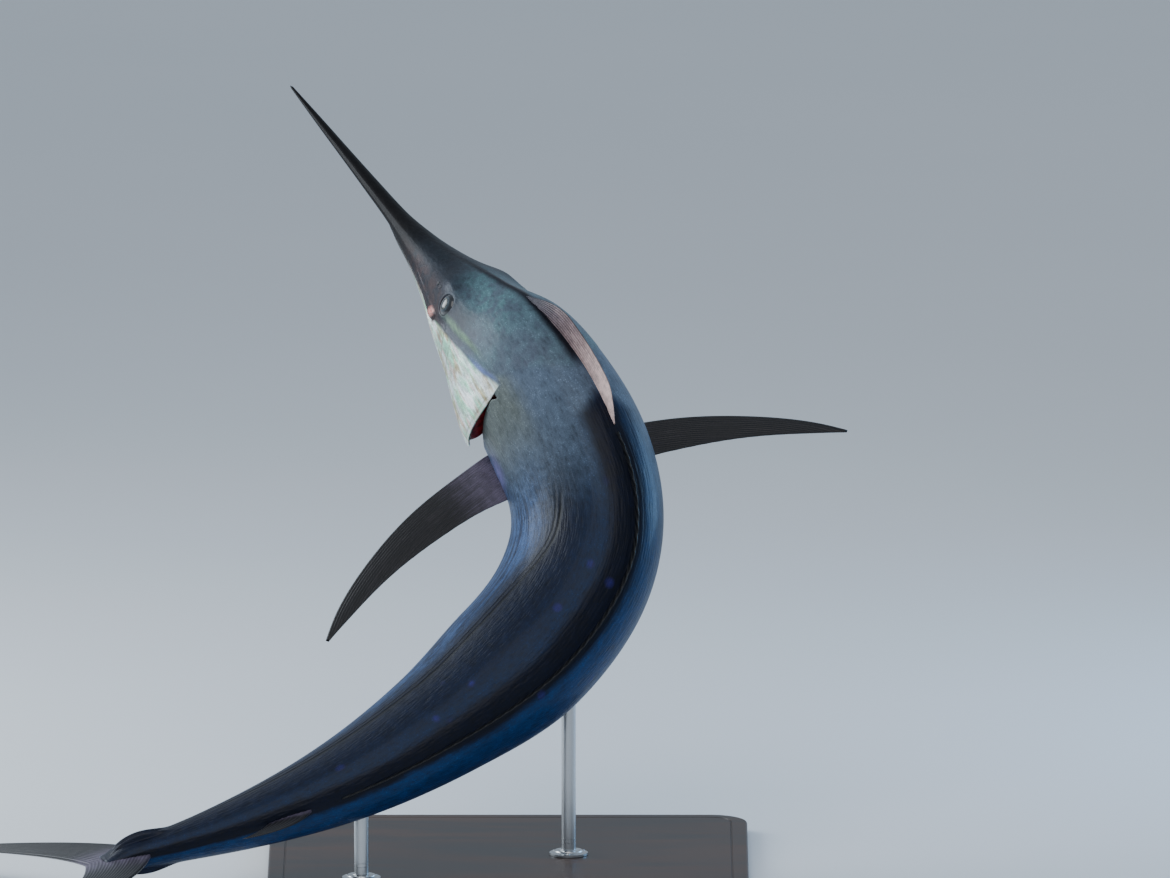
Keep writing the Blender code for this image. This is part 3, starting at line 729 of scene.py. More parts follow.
@dataclass
class Skin:
    """The one skin of the fish, from the tip of the bill to the root of the tail."""

    above: int = 56
    below: int = 40
    keel_turns: Pair = (74.0, 106.0)
    keel_height: float = 0.0115
    # Stands for the distance from the cover's edge wherever there is no edge, in metres.
    far: float = 0.2
    # Lengths of the body with the distance between their rows in metres.
    rows_before: tuple[Point, ...] = (
        (-0.21, -0.02, 0.009),
        (-0.02, 0.12, 0.0045),
        (0.12, 0.188, 0.0025),
    )
    rows_behind: tuple[Point, ...] = (
        (0.2780, 0.36, 0.005),
        (0.36, 0.92, 0.009),
        (0.92, 0.985, 0.0035),
    )
    lateral: tuple[Pair, ...] = (
        # place and turn of the lateral line
        (0.28, 48.0),
        (0.36, 54.0),
        (0.44, 62.0),
        (0.54, 77.0),
        (0.63, 77.0),
        (0.75, 80.0),
        (0.93, 88.0),
    )

    def relief(self, place: Grid, turn: Grid) -> Grid:
        """Height of the skin's modelled forms over the plain body, in metres.

        Args:
            place: places along the body.
            turn: turns from 0 to 180 degrees.

        Returns:
            Heights, negative where the skin is sunk.
        """
        stretch = BODY.stretch(place, turn)
        below = (turn - HEAD.mouth_turn(place)) * stretch
        return (
            self._mouth(place, below)
            + self._eye_and_nostrils(place, turn)
            + self._plates(place, turn, below)
            + self._back_and_keels(place, turn)
        )

    def _mouth(self, place: Grid, below: Grid) -> Grid:
        """Shape the mouth between its lips, its fleshy corner and the jaw's stepped tip.

        Args:
            place: places along the body.
            below: distances below the mouth's line in metres.

        Returns:
            Heights in metres.
        """
        corner = HEAD.mouth_corner
        inside = between(place, 0.0, 0.006, corner - 0.004, corner + 0.003)
        depth = 0.0016 + 0.0075 * ramp(place, 0.0, 0.12)
        width = 0.0013 + 0.0042 * ramp(place, 0.120, 0.143)
        groove = -depth * inside * bell(below / width, 0.0, 1.0)
        lips = 0.0016 * inside * (bell(below / width, 2.3, 1.0) + bell(below / width, -2.3, 1.0))
        tip = 0.0016 * between(place, 0.0010, 0.0040, 0.012, 0.05) * ramp(below, -0.0005, 0.002)
        behind = (place - corner) * BODY.length
        along, across = self._on_flesh(place, below)
        pad = bell(along, 0.0, 0.021) * bell(across, 0.0, 0.0115)
        pad = pad * (0.0040 - 0.0016 * np.sin(np.pi * across / 0.0060) ** 2)
        fold = -0.0032 * bell(behind - 0.0085 - below * 0.45, 0.0, 0.0030) * bell(below, 0.0, 0.012)
        return groove + lips + tip + pad + fold

    @staticmethod
    def _on_flesh(place: Grid, below: Grid) -> tuple[Grid, Grid]:
        """Measure from the slanting fold of flesh at the mouth's corner.

        Args:
            place: places along the body.
            below: distances below the mouth's line in metres.

        Returns:
            Distances along and across the fold in metres.
        """
        slant = math.radians(36.0)
        back = (place - 0.1425) * BODY.length
        down = below + 0.0145
        along = back * math.cos(slant) - down * math.sin(slant)
        return along, back * math.sin(slant) + down * math.cos(slant)

    def _eye_and_nostrils(self, place: Grid, turn: Grid) -> Grid:
        """Shape the socket and its raised rim, the brow and two pits before it.

        Args:
            place: places along the body.
            turn: turns in degrees.

        Returns:
            Heights in metres.
        """
        centre = BODY.stretch(HEAD.eye_place, HEAD.eye_turn)
        away = np.hypot((place - HEAD.eye_place) * BODY.length, (turn - HEAD.eye_turn) * centre)
        reach = (0.0, 0.013, 0.0225, 0.0250, 0.029, 0.040)
        socket = Smooth(reach, (-0.009, -0.009, 0.0006, 0.0020, 0.0011, 0.0))(away)
        round_ = (turn - HEAD.nostril_turn) * centre
        pits = sum(bell((place - nostril) * BODY.length, 0.0, 0.0050) for nostril in HEAD.nostril_places)
        brow = 0.0022 * bell(turn, 44, 6) * bell(place, 0.160, 0.022)
        return np.where(away < reach[-1], socket, 0.0) - 0.0038 * pits * bell(round_, 0.0, 0.0030) + brow

    @staticmethod
    def bend(turn: Grid) -> Grid:
        """Places of the cheek plate's curved rear edge."""
        return 0.172 + 0.011 * np.cos(np.radians((turn - 108) * 1.7))

    def _plates(self, place: Grid, turn: Grid, below: Grid) -> Grid:
        """Shape the upper jaw's plate, the cheek's edges and the folds of the throat.

        Args:
            place: places along the body.
            turn: turns in degrees.
            below: distances below the mouth's line in metres.

        Returns:
            Heights in metres.
        """
        broad = 0.007 + 0.006 * ramp(place, 0.10, 0.15)
        plate = ramp(broad - np.abs(below + 0.006 + broad), 0.0, 0.003)
        plate = 0.0017 * plate * between(place, 0.07, 0.10, 0.151, 0.155)
        from_ridge = (turn - HEAD.ridge_turn(place)) * BODY.stretch(place, turn)
        ridge = 0.0016 * bell(from_ridge, 0.0, 0.005) * between(place, 0.150, 0.165, 0.262, 0.275)
        past = (place - self.bend(turn)) * BODY.length
        edge = -0.0014 * bell(past, 0.0, 0.0035) + 0.0010 * bell(past, 0.008, 0.007)
        folds = -0.0009 * np.sin((turn - 118) / 6.5 * math.pi) ** 2 * bell(turn, 140, 16)
        folds = folds * between(place, 0.06, 0.10, 0.180, 0.190)
        return plate + ridge + edge * between(turn, 74, 84, 146, 156) + folds

    def _back_and_keels(self, place: Grid, turn: Grid) -> Grid:
        """Shape the nape's crest, the dorsal fin's groove, a fin pad and the tail's keels.

        Args:
            place: places along the body.
            turn: turns in degrees.

        Returns:
            Heights in metres.
        """
        brow = 0.0063 * bell(turn, 42, 16) * bell(place, 0.145, 0.016)
        hollow = -0.0120 * bell(turn, 29, 26) * bell(place, 0.190, 0.035)
        crest = 0.0032 * bell(turn, 0, 5) * between(place, 0.150, 0.180, 0.214, 0.226)
        groove = -0.0012 * bell(turn, 3.2, 1.4) * between(place, 0.355, 0.370, 0.70, 0.775)
        scaled = ramp(place + turn * HEAD.scale_slant, *HEAD.scale_places)
        naked = 0.0007 * (1 - scaled) * (1 - ramp(turn, 52, 62))
        pad = 0.0038 * bell(turn, 125, 8) * bell(place, 0.312, 0.030)
        swell = np.sin(np.pi * np.clip((place - 0.917) / 0.062, 0, 1)) ** 1.4
        keels = sum(np.clip(1 - np.abs(turn - k) / 8, 0, 1) for k in self.keel_turns)
        return brow + hollow + crest + groove + naked + pad + self.keel_height * swell * keels

    def turns(self, place: Grid) -> Grid:
        """Turns of the columns on one side, from back to belly, drawn close at the mouth.

        Args:
            place: one place for each row.

        Returns:
            Rows by columns of turns from 0 to 180.
        """
        line = HEAD.mouth_turn(place)[:, None]
        spread = (1 - 0.62 * between(place, -0.03, 0.0, 0.155, 0.20))[:, None]
        over = np.linspace(0, 1, self.above + 1)[None, :]
        under = np.linspace(0, 1, self.below + 1)[None, 1:]
        upper = line * (spread * over + (1 - spread) * (1 - (1 - over) ** 2))
        lower = line + (180 - line) * (spread * under + (1 - spread) * under ** 2)
        return np.concatenate([upper, lower], axis=1)

    @staticmethod
    def _stations(lengths: tuple[Point, ...]) -> Grid:
        """Space the rows over lengths of the body.

        Args:
            lengths: each length's start, end and distance between its rows in metres.

        Returns:
            The rows' places.
        """
        found = []
        for start, end, spacing in lengths:
            count = max(2, round((end - start) * BODY.length / spacing))
            found.append(np.linspace(start, end, count, endpoint=False))
        return np.concatenate([*found, [lengths[-1][1]]])

    @staticmethod
    def _fold(part: Fold, share: float, turn: Grid) -> tuple[Grid, Grid, Grid]:
        """Where the skin runs at the gill cover.

        Args:
            part: the length of the fold.
            share: how far along that length.
            turn: turns of the columns.

        Returns:
            Places, lifts in metres and how far the skin is inside the hollow, from 0 to 1.
        """
        size = BODY.length
        edge = GILL.edge(turn)
        radius = GILL.edge_radius
        edge_lift = GILL.lift(edge, turn)
        deep = np.minimum(GILL.pocket, (edge - GILL.start) * size * 0.8)
        within = edge - deep / size
        roof = GILL.lift(within, turn) - 2 * radius - GILL.roof_drop
        rear = GILL.rear(turn) - GILL.wall / size
        one = np.ones_like(turn)
        if part is Fold.OUTER:
            place = GILL.start + (edge - GILL.start) * share
            return place, GILL.lift(place, turn), 0 * one
        if part is Fold.RIM:
            swing = math.pi * share
            lift = edge_lift - radius * (1 - math.cos(swing))
            return edge + radius * math.sin(swing) / size, lift, float(ramp(share, 0.45, 0.9)) * one
        if part is Fold.INNER:
            place = edge + (within - edge) * share
            return place, GILL.lift(place, turn) - 2 * radius - GILL.roof_drop * share, one
        if part is Fold.TURN:
            swing = math.pi * share
            lift = roof + (GILL.floor - roof) * (1 - math.cos(swing)) / 2
            return within - (roof - GILL.floor) / 2 * math.sin(swing) / size, lift, one
        if part is Fold.FLOOR:
            return within + (rear - within) * share, GILL.floor * one, one
        if part is Fold.WALL:
            place = rear + GILL.wall / size * (1 - (1 - share) ** 2)
            inside = 1 - float(ramp(share, 0.72, 1.0))
            return place, (GILL.floor * (1 - share) - GILL.sunk * share) * one, inside * one
        place = GILL.rear(turn) + (GILL.beyond - GILL.rear(turn)) * share
        return place, -GILL.sunk * (1 - share) * one, 0 * one

    def rows(self) -> tuple[Grid, Grid, Grid, Grid, Grid]:
        """The whole grid of one side.

        Returns:
            Places, turns, lifts, how far inside the gill hollow and the distance from the
            cover's edge, each as rows by columns.
        """
        before = self._stations(self.rows_before)
        behind = self._stations(self.rows_behind)
        steps = [(part, (k + 1) / part.value) for part in Fold for k in range(part.value)]
        through = GILL.start + (GILL.beyond - GILL.start) * (np.arange(len(steps)) + 1) / len(steps)
        plain = np.concatenate([before, through, behind])
        turn = self.turns(plain)
        place = np.repeat(plain[:, None], turn.shape[1], axis=1)
        opened = GILL.opened(turn)
        # Where the cover isn't free, the fold's rows lie on the plain skin, close behind its edge.
        for k, (part, share) in enumerate(steps):
            row = len(before) + k
            edge = GILL.edge(turn[row])
            if part is Fold.OUTER:
                place[row] = GILL.start + (edge - GILL.start) * share
            else:
                share = (k + 1 - Fold.OUTER.value) / (len(steps) - Fold.OUTER.value)
                place[row] = edge + (GILL.beyond - edge) * share
        lift = self.relief(place, turn)
        lift[: len(before)] += GILL.lift(place[: len(before)], turn[: len(before)]) * opened[: len(before)]
        hollow = np.zeros_like(place)
        rim = np.full_like(place, self.far)
        for k, (part, share) in enumerate(steps):
            row = len(before) + k
            at, held, inside = self._fold(part, share, turn[row])
            free = opened[row]
            if part is Fold.OUTER:
                held = held + self.relief(at, turn[row]) * (1 - float(ramp(share, 0.8, 1.0)))
                rim[row] = (GILL.edge(turn[row]) - at) * BODY.length + self.far * (1 - free)
            if part is Fold.BEYOND:
                held = held + self.relief(at, turn[row]) * share
            place[row] = place[row] * (1 - free) + at * free
            lift[row] = lift[row] * (1 - free) + held * free
            hollow[row] = inside * free
        return place, turn, lift, hollow, rim

    def build(self) -> bpy.types.Object:
        """Weave the skin and keep with its points what its finish reads.

        Returns:
            The closed skin.
        """
        half = self.rows()
        place, turn, lift, hollow, rim = (np.concatenate([v, v[:, -2::-1]], axis=1) for v in half)
        sign = np.ones(place.shape[1])
        sign[half[0].shape[1]:] = -1
        height, out = BODY.section(place, turn * sign[None, :], lift)
        points = BODY.put(place, height, out)
        for row in (0, -1):
            points[row] = points[row, :-1].mean(axis=0)
            height[row] = height[row].mean()
            out[row] = 0
        piece = woven("skin", points)
        stretch = BODY.stretch(place, turn)
        mouth = (turn - HEAD.mouth_turn(place)) * stretch
        along, across = self._on_flesh(place, mouth)
        corner = np.hypot(along / 1.45, across / 0.80)
        plate = (place - self.bend(turn)) * BODY.length
        ridge = (turn - HEAD.ridge_turn(place)) * stretch
        lateral = (turn - Smooth(*zip(*self.lateral))(place)) * stretch
        store(piece, "straight", np.stack([place * BODY.length, height, out], -1))
        for name, values in zip(SKIN_MAPS, (turn, hollow, rim, corner, mouth, plate, ridge, lateral)):
            store(piece, name, values)
        return sealed(piece)


class SkinShader(Shader):
    """The skin's nodes, with the maps kept with the skin and the noises that its colours share."""

    def __init__(self, name: str) -> None:
        """Add the maps and the noises.

        Args:
            name: the material's name.
        """
        super().__init__(name)
        self.straight = self.stored("straight", vector=True)
        self.along, _, self.across = self.parts(self.straight)
        self.place = self.along / BODY.length
        kept = [self.stored(word) for word in SKIN_MAPS]
        self.turn, self.hollow, self.rim, self.corner, self.mouth, self.plate, self.ridge, self.lateral = kept
        self.cloud = self.noise(self.straight, 5.0, 4.0)
        self.mottle = self.noise(self.straight, 38.0, 4.0, 0.6)
        self.grain = self.noise(self.straight, 420.0, 2.0)
        self.streak = self.noise(self.scaled(self.straight, (6.0, 105.0, 105.0)), 1.0, 4.0, 0.6)
        self.lines = self.cells(self.scaled(self.straight, (26.0, 210.0, 210.0)), 1.0)
        stretched = self.scaled(self.straight, (9.0, 48.0, 48.0))
        sockets = {"Vector": stretched, "Scale": 1.0, "Detail": 5.0, "Roughness": 0.62, "Distortion": 0.35}
        # The three colours of this noise streak the cheek and the gill cover.
        self.fibre = self.parts(self.node("TexNoise", sockets=sockets, output=1))


@dataclass(frozen=True)
class SkinFinish:
    """Wet skin: near black along the back, slate on the sides, silver and bronze below."""

    midnight: Colour = srgb(0, 5, 24)
    sea_blue: Colour = srgb(4, 28, 56)
    # A painted reflection of blue sea light, laid on the right side of the back.
    sea_reflection: Colour = srgb(4, 52, 98)
    slate: Colour = srgb(8, 19, 42)
    dusk: Colour = srgb(18, 23, 40)
    steel_blue: Colour = srgb(54, 83, 127)
    deep_blue: Colour = srgb(24, 40, 72)
    pearl: Colour = srgb(230, 235, 238)
    belly: Colour = srgb(158, 182, 206)
    olive: Colour = srgb(88, 93, 82)
    shoulder: Colour = srgb(80, 93, 109)
    # The violet skin of the fin's axil, painted lighter to lift the shadow of the pectoral fin.
    lit_axil: Colour = srgb(128, 124, 176)
    teal: Colour = srgb(74, 87, 99)
    green: Colour = srgb(66, 103, 106)
    plum: Colour = srgb(82, 80, 98)
    crown: Colour = srgb(18, 20, 29)
    russet: Colour = srgb(44, 26, 24)
    bill: Colour = srgb(15, 13, 15)
    jaw: Colour = srgb(96, 100, 100)
    silver: Colour = srgb(228, 234, 234)
    mint: Colour = srgb(160, 212, 184)
    gold: Colour = srgb(172, 156, 116)
    rose: Colour = srgb(226, 188, 190)
    fawn: Colour = srgb(108, 94, 72)
    leaf: Colour = srgb(90, 122, 92)
    violet: Colour = srgb(96, 112, 178)
    flesh: Colour = srgb(176, 92, 88)
    pink_flesh: Colour = srgb(214, 162, 152)
    shadow: Colour = srgb(30, 24, 28)
    pale_rim: Colour = srgb(226, 212, 208)
    brown_rim: Colour = srgb(120, 66, 62)
    blood: Colour = srgb(122, 26, 34)
    dark_blood: Colour = srgb(58, 12, 20)
    # Painted shade for the creases and pits.
    crease_shade: Colour = srgb(6, 7, 10)
    cobalt: Colour = srgb(42, 38, 116)
    # How much further back the dark crown reaches with each degree of turn.
    crown_slant: float = 0.0006
    # Places and turns of the cobalt marks that show on the photographed side.
    spots: tuple[Pair, ...] = (
        (0.473, 31),
        (0.480, 11),
        (0.523, 35),
        (0.585, -7),
        (0.625, 41),
        (0.670, 34),
    )

    def make(self) -> bpy.types.Material:
        """Build the finish.

        Returns:
            The skin's material.
        """
        s = SkinShader("wet_skin")
        place, turn, mottle, grain, ridge, hollow = s.place, s.turn, s.mottle, s.grain, s.ridge, s.hollow
        wavering = turn + (s.cloud - 0.5) * 16 + (s.streak - 0.5) * 8
        colour = self._trunk(s, wavering)
        colour = self._head(s, colour)
        colour = self._spots(s, colour)
        scales = s.cells(s.scaled(s.straight, (46.0, 125.0, 125.0)), 1.0)
        flecks = (1 - s.cells(s.straight, 190.0).rise(0.16, 0.34)) * mottle.rise(0.44, 0.60)
        scaly = (place + turn * HEAD.scale_slant).rise(HEAD.scale_places[0], 0.330)
        tone = (
            0.58
            - 0.20 * place.rise(0.27, 0.36)
            + 0.34 * mottle.rise(0.30, 0.70)
            + 0.42 * grain.rise(0.25, 0.75)
            + 0.26 * scales.rise(0.10, 0.60)
            + 0.75 * flecks
            - 0.20 * (1 - s.lines.rise(0.03, 0.22)) * scaly
            # Painted shade: darker on the flank where the key light's highlight falls.
            - 0.20 * place.near(0.410, 0.070) * turn.near(72.0, 26.0)
        )
        colour = self._creases(s, s.shade(colour, tone))
        colour = s.mix(hollow, colour, s.mix(mottle.rise(0.4, 0.7), self.blood, self.dark_blood))
        silver = place.rise(0.15, 0.17) * ridge.rise(0.0, 0.02) * (1 - place.rise(0.27, 0.28))
        height = (
            (s.streak * 0.55 + s.lines * 0.35) * scaly
            + mottle * 0.30
            + grain * 0.14
            + scales * 0.25
            - self._lateral_groove(s) * 0.9
            + s.fibre[0] * 0.5 * silver
        )
        crown = (1 - (place - turn * self.crown_slant).rise(0.105, 0.170)) * (1 - ridge.rise(-0.003, 0.008))
        metal = 0.08 + 0.50 * crown + 0.42 * silver * (1 - hollow) + 0.12 * wavering.rise(78.0, 100.0)
        rough = 0.36 + 0.20 * mottle - 0.06 * silver + 0.12 * hollow + 0.10 * (1 - place.rise(0.0, 0.12))
        return s.finish(
            base_color=colour,
            roughness=rough,
            metallic=metal,
            specular_ior_level=0.16,
            coat_weight=0.03 + 0.10 * s.cloud,
            coat_roughness=0.14,
            normal=s.bump(height, 0.0035, 0.60),
        )

    @staticmethod
    def _lateral_groove(s: SkinShader) -> Wire:
        """The double crease of the lateral line."""
        both = s.lateral.near(-0.001, 0.0075) + 0.80 * s.lateral.near(0.012, 0.006)
        return both * s.place.rise(0.385, 0.425) * (1 - s.place.rise(0.80, 0.92))

    def _trunk(self, s: SkinShader, turn: Wire) -> Wire:
        """Colour the body from back to belly.

        Args:
            s: the skin's nodes.
            turn: turns that waver with the noises.

        Returns:
            The colour.
        """
        place, streak = s.place, s.streak
        lateral = s.lateral + (streak - 0.5) * 0.03
        left = s.across.rise(-0.004, 0.004)
        right = (1 - left) * (1 - turn.rise(60.0, 90.0))
        side = s.layered(
            self.sea_blue,
            (turn.rise(26.0, 54.0), self.slate),
            # Painted reflection of blue sea light on the right side of the back.
            (right * place.rise(0.36, 0.56) * 0.7, self.sea_reflection),
            (lateral.rise(-0.05, 0.0), self.dusk),
        )
        # The black band reaches 13 degrees further round the left side than the right.
        band = turn - left * 13
        nape = 1 - place.rise(0.315, 0.345)
        silver = s.mix(streak.rise(0.40, 0.62), self.steel_blue, self.deep_blue)
        front = 1 - (place + (streak - 0.5) * 0.05).rise(0.33, 0.44)
        front = front * (turn + nape * 30).rise(14.0, 34.0) * (1 - turn.rise(96.0, 128.0)) * 0.9
        olive = (1 - place.rise(0.29, 0.37)) * turn.rise(48.0, 66.0) * (1 - turn.rise(104.0, 128.0))
        # The axil's own violet, painted lighter where the pectoral fin shades it.
        lit_axil = place.near(0.318, 0.035) * turn.near(114.0, 16.0)
        return s.layered(
            self.midnight,
            (band.rise(4.0, 14.0).largest(nape), side),
            (lateral.rise(0.004, 0.09), silver),
            (turn.rise(116.0, 148.0), self.belly),
            (turn.rise(146.0, 170.0), self.pearl),
            (front, self.shoulder),
            (olive * (0.35 + 0.6 * s.cloud), self.olive),
            (lit_axil * 0.7, self.lit_axil),
        )

    def _head(self, s: SkinShader, colour: Wire) -> Wire:
        """Colour the head over the body's colours.

        Args:
            s: the skin's nodes.
            colour: the body's colours.

        Returns:
            The colour.
        """
        place, turn, ridge, mottle, fibre = s.place, s.turn, s.ridge, s.mottle, s.fibre
        edge = place + turn * HEAD.scale_slant + (mottle - 0.5) * 0.006
        teal = s.layered(
            self.teal,
            (mottle.rise(0.34, 0.66) * 0.7, self.green),
            ((s.cloud + 0.6 * mottle).rise(0.72, 0.96) * 0.45, self.plum),
            (1 - turn.rise(1.0, 9.0), self.crown),
        )
        crown = 1 - (place - turn * self.crown_slant).rise(0.100, 0.184)
        brown = s.mix(turn.rise(40.0, 70.0) * mottle.rise(0.3, 0.6), self.crown, self.russet)
        below = ridge.rise(-0.003, 0.008) * (1 - place.rise(0.2690, 0.2704))
        contour = s.plate.near(0.0, 0.0050) + 0.5 * s.plate.near(0.036, 0.0060)
        cheek = s.layered(
            self.silver,
            (fibre[0].rise(0.40, 0.62), self.mint),
            (fibre[1].rise(0.46, 0.64) * 0.85, self.gold),
            (fibre[2].rise(0.50, 0.68) * 0.65, self.rose),
            (contour * (0.35 + fibre[2]) * 0.8, self.fawn),
            (turn.rise(112.0, 138.0), self.pearl),
        )
        # Painted shade: the crown's dark colour laid over the temple where the key light falls.
        shade = place.near(0.185, 0.050) * turn.near(60.0, 22.0) * (1 - below)
        leaf = place.near(0.202, 0.046) * ridge.near(-0.025, 0.013)
        violet = place.near(0.246, 0.030) * ridge.near(-0.001, 0.012)
        bill = 1 - place.rise(0.02, 0.10)
        under = s.mouth.rise(-0.006, 0.004) * place.rise(-0.01, 0.02)
        return s.layered(
            colour,
            ((1 - edge.rise(0.300, 0.312)) * (1 - place.rise(0.285, 0.31)), teal),
            (crown * 0.92, brown),
            (below, s.mix(place.rise(0.03, 0.14), self.jaw, cheek)),
            (shade * 0.75, self.crown),
            (leaf * (0.35 + 0.65 * fibre[1].rise(0.36, 0.62)), self.leaf),
            (violet * (0.2 + 0.8 * fibre[2]), self.violet),
            (bill * (1 - under), self.bill),
        )

    def _spots(self, s: SkinShader, colour: Wire) -> Wire:
        """Lay on the cobalt marks: the ones seen, and fainter ones in rows down both sides.

        Args:
            s: the skin's nodes.
            colour: the colours without them.

        Returns:
            The colour.
        """
        uneven = s.mottle - 0.5
        marks = 0.0
        for place, turn in self.spots:
            height, out = BODY.section(place, turn, 0.0)
            at = (place * BODY.length, float(height), float(out))
            marks = marks + (1 - (s.distance(s.straight, at) + uneven * 0.016).rise(0.002, 0.013))
        rows = s.cells(s.scaled(s.straight, (11.0, 15.0, 15.0)), 1.0)
        faint = (1 - (rows + uneven * 0.1).rise(0.04, 0.15)) * 0.35
        rows = faint * s.along.rise(0.80, 0.95) * s.turn.near(48.0, 40.0)
        return s.mix((marks * 0.45).largest(rows), colour, self.cobalt)

    def _creases(self, s: SkinShader, colour: Wire) -> Wire:
        """Draw the lateral line, the mouth and its corner, the nostrils and the cover's rim.

        Args:
            s: the skin's nodes.
            colour: the colours without them.

        Returns:
            The colour.
        """
        place, mouth, corner, rim = s.place, s.mouth, s.corner, s.rim
        inside = mouth.near(0.0, 0.0035) * place.rise(0.0, 0.01) * (1 - place.rise(0.130, 0.14))
        pits = 0.0
        for nostril in HEAD.nostril_places:
            ahead = ((place - nostril) * BODY.length).near(0.0, 0.0065)
            pits = pits + ahead * s.turn.near(HEAD.nostril_turn, 3.2)
        red = s.mix(s.mottle.rise(0.40, 0.62), self.flesh, self.pink_flesh)
        reach = corner + (s.mottle - 0.5) * 0.024 + mouth.rise(-0.030, -0.004) * 0.004
        crescent = corner.near(0.0215, 0.0050) * mouth.rise(-0.008, 0.002) * place.rise(0.140, 0.146)
        return s.layered(
            colour,
            # Painted shade in the lateral line's crease, the mouth's gap and the nostril pits.
            (self._lateral_groove(s) * 0.8, self.crease_shade),
            (inside * 0.9, self.crease_shade),
            (pits, self.crease_shade),
            ((1 - reach.rise(0.0110, 0.0215)) * 0.88, red),
            (crescent * 0.85, self.shadow),
            ((1 - rim.rise(0.0015, 0.005)) * 0.85, self.pale_rim),
            (rim.near(0.009, 0.004) * 0.35, self.brown_rim),
        )


@dataclass(frozen=True)
class FinFinish:
    """Wet membrane stretched over rays, which run along the fin's own map."""

    name: str
    membrane: Colour
    ray: Colour
    pale: Colour
    root: Colour
    root_reach: float = 0.22
    roughness: float = 0.42
    # Ray number of the painted shadow line along the free edge; below 0 for no painted shadow lines.
    rim: float = -1.0
    tip: float = 0.0
    # Painted shadow along the fin's root and free edge.
    border: Colour = srgb(18, 18, 24)

    def make(self) -> bpy.types.Material:
        """Build the finish.

        Returns:
            The fin's material.
        """
        s = Shader(self.name)
        across, along, _ = s.parts(s.node("UVMap", {"uv_map": "UVMap"}))
        mottle = s.noise(s.spot(), 60.0, 4.0, 0.62)
        speck = s.noise(s.spot(), 380.0, 2.0)
        fibre = s.noise(s.joined(across * 1.3, along * 5.0), 1.0, 4.0)
        ray = (across * math.pi).wave() ** 2
        joint = (along * 420 + across * 1.7).wave() * ray
        at_root = 1 - (along + (fibre - 0.5) * 0.3).rise(0.02, self.root_reach)
        colour = s.layered(
            self.membrane,
            (ray.rise(0.35, 0.95), self.ray),
            (fibre.rise(0.50, 0.72) * 0.6, self.pale),
            (at_root * 0.95, self.root),
            (along.rise(0.45, 0.90) * self.tip, self.pale),
        )
        # Painted shadow lines along the root and along the free edge at ray number rim.
        if self.rim > 0:
            border = across.near(0.0, 0.7) * 0.7 + across.near(self.rim, 0.5) * 0.8
            colour = s.mix(border, colour, self.border)
        colour = s.shade(colour, 0.42 + 0.50 * mottle.rise(0.3, 0.7) + 0.62 * speck)
        height = ray * 0.6 + fibre * 0.25 + joint * 0.06 + mottle * 0.2
        return s.finish(
            base_color=colour,
            roughness=self.roughness + 0.18 * (mottle - 0.5),
            specular_ior_level=0.30,
            coat_weight=0.06,
            coat_roughness=0.18,
            normal=s.bump(height, 0.0016, 0.6),
        )


class FinColours(Enum):
    """The finishes of the fins."""

    DARK = FinFinish(
        "fin_membrane",
        srgb(12, 11, 15),
        srgb(22, 19, 22),
        srgb(44, 39, 42),
        srgb(88, 80, 98),
        root_reach=0.26,
    )
    RIDGE = FinFinish(
        "dorsal_ridge_membrane", srgb(4, 6, 11), srgb(9, 11, 17), srgb(14, 17, 26), srgb(4, 6, 10)
    )
    LOBE = FinFinish(
        "dorsal_lobe_membrane",
        srgb(176, 142, 136),
        srgb(206, 174, 168),
        srgb(240, 210, 202),
        srgb(26, 36, 58),
        root_reach=1.0,
        rim=9.0,
        tip=0.8,
    )

    def material(self) -> bpy.types.Material:
        """The finish's material, made once."""
        return bpy.data.materials.get(self.value.name) or self.value.make()


def bow(points: tuple[Pair, ...], share: Grid) -> Grid:
    """Follow a quadratic curve.

    Args:
        points: its start, control and end points.
        share: shares of the way along it.

    Returns:
        Points of the curve.
    """
    start, control, end = (np.array(p, float) for p in points)
    share = np.asarray(share, float)[:, None]
    return start * (1 - share) ** 2 + 2 * control * share * (1 - share) + end * share ** 2


@dataclass
class MedianFin:
    """A fin in the middle plane between a leading and a trailing curve of places and heights."""

    name: str
    replaces: tuple[str, ...]
    lead: tuple[Pair, ...]
    trail: tuple[Pair, ...]
    rays: int
    rows: int
    thickness: float
    both_ways: bool = False

    def _sheet(self, sign: float) -> tuple[Grid, Grid, Grid, Grid]:
        """Lay out the grid of one lobe.

        Args:
            sign: 1 for the lobe as given and -1 for its mirror image.

        Returns:
            Places, heights in lengths of the body, half thicknesses in metres and shares of
            the way out.
        """
        share = np.linspace(0, 1, self.rows)
        across = np.linspace(0, 1, 4 * self.rays + 1)[None, :, None]
        grid = bow(self.lead, share)[:, None, :] * (1 - across) + bow(self.trail, share)[:, None, :] * across
        chord = across[..., 0]
        lens = 0.30 + 0.70 * np.sin(np.pi * np.clip(chord * 0.85 + 0.1, 0, 1))
        taper = (1 - share[:, None]) * 0.8 + 0.2
        ribs = ridges(chord * self.rays, 0.0007) * (1 - share[:, None] ** 3)
        half = self.thickness / 2 * lens * taper + ribs
        half = np.maximum(half * np.clip((1 - chord) * 14, 0.12, 1), 0.00025)
        along = np.repeat(share[:, None], chord.shape[1], axis=1)
        return grid[..., 0], grid[..., 1] * sign, half, along

    def build(self) -> bpy.types.Object:
        """Make the fin, or both of its lobes as one crescent.

        Returns:
            The closed fin.
        """
        place, height, half, along = self._sheet(1.0)
        if self.both_ways:
            other = self._sheet(-1.0)
            parts = [np.concatenate([b[::-1], a[1:]]) for a, b in zip((place, height, half, along), other)]
            place, height, half, along = parts
        across = np.broadcast_to(np.linspace(0, self.rays, place.shape[1])[None, :], place.shape)
        left = BODY.put(place, height * BODY.length, half)
        right = BODY.put(place, height * BODY.length, -half)
        return blade(self.name, left, right, across, along)


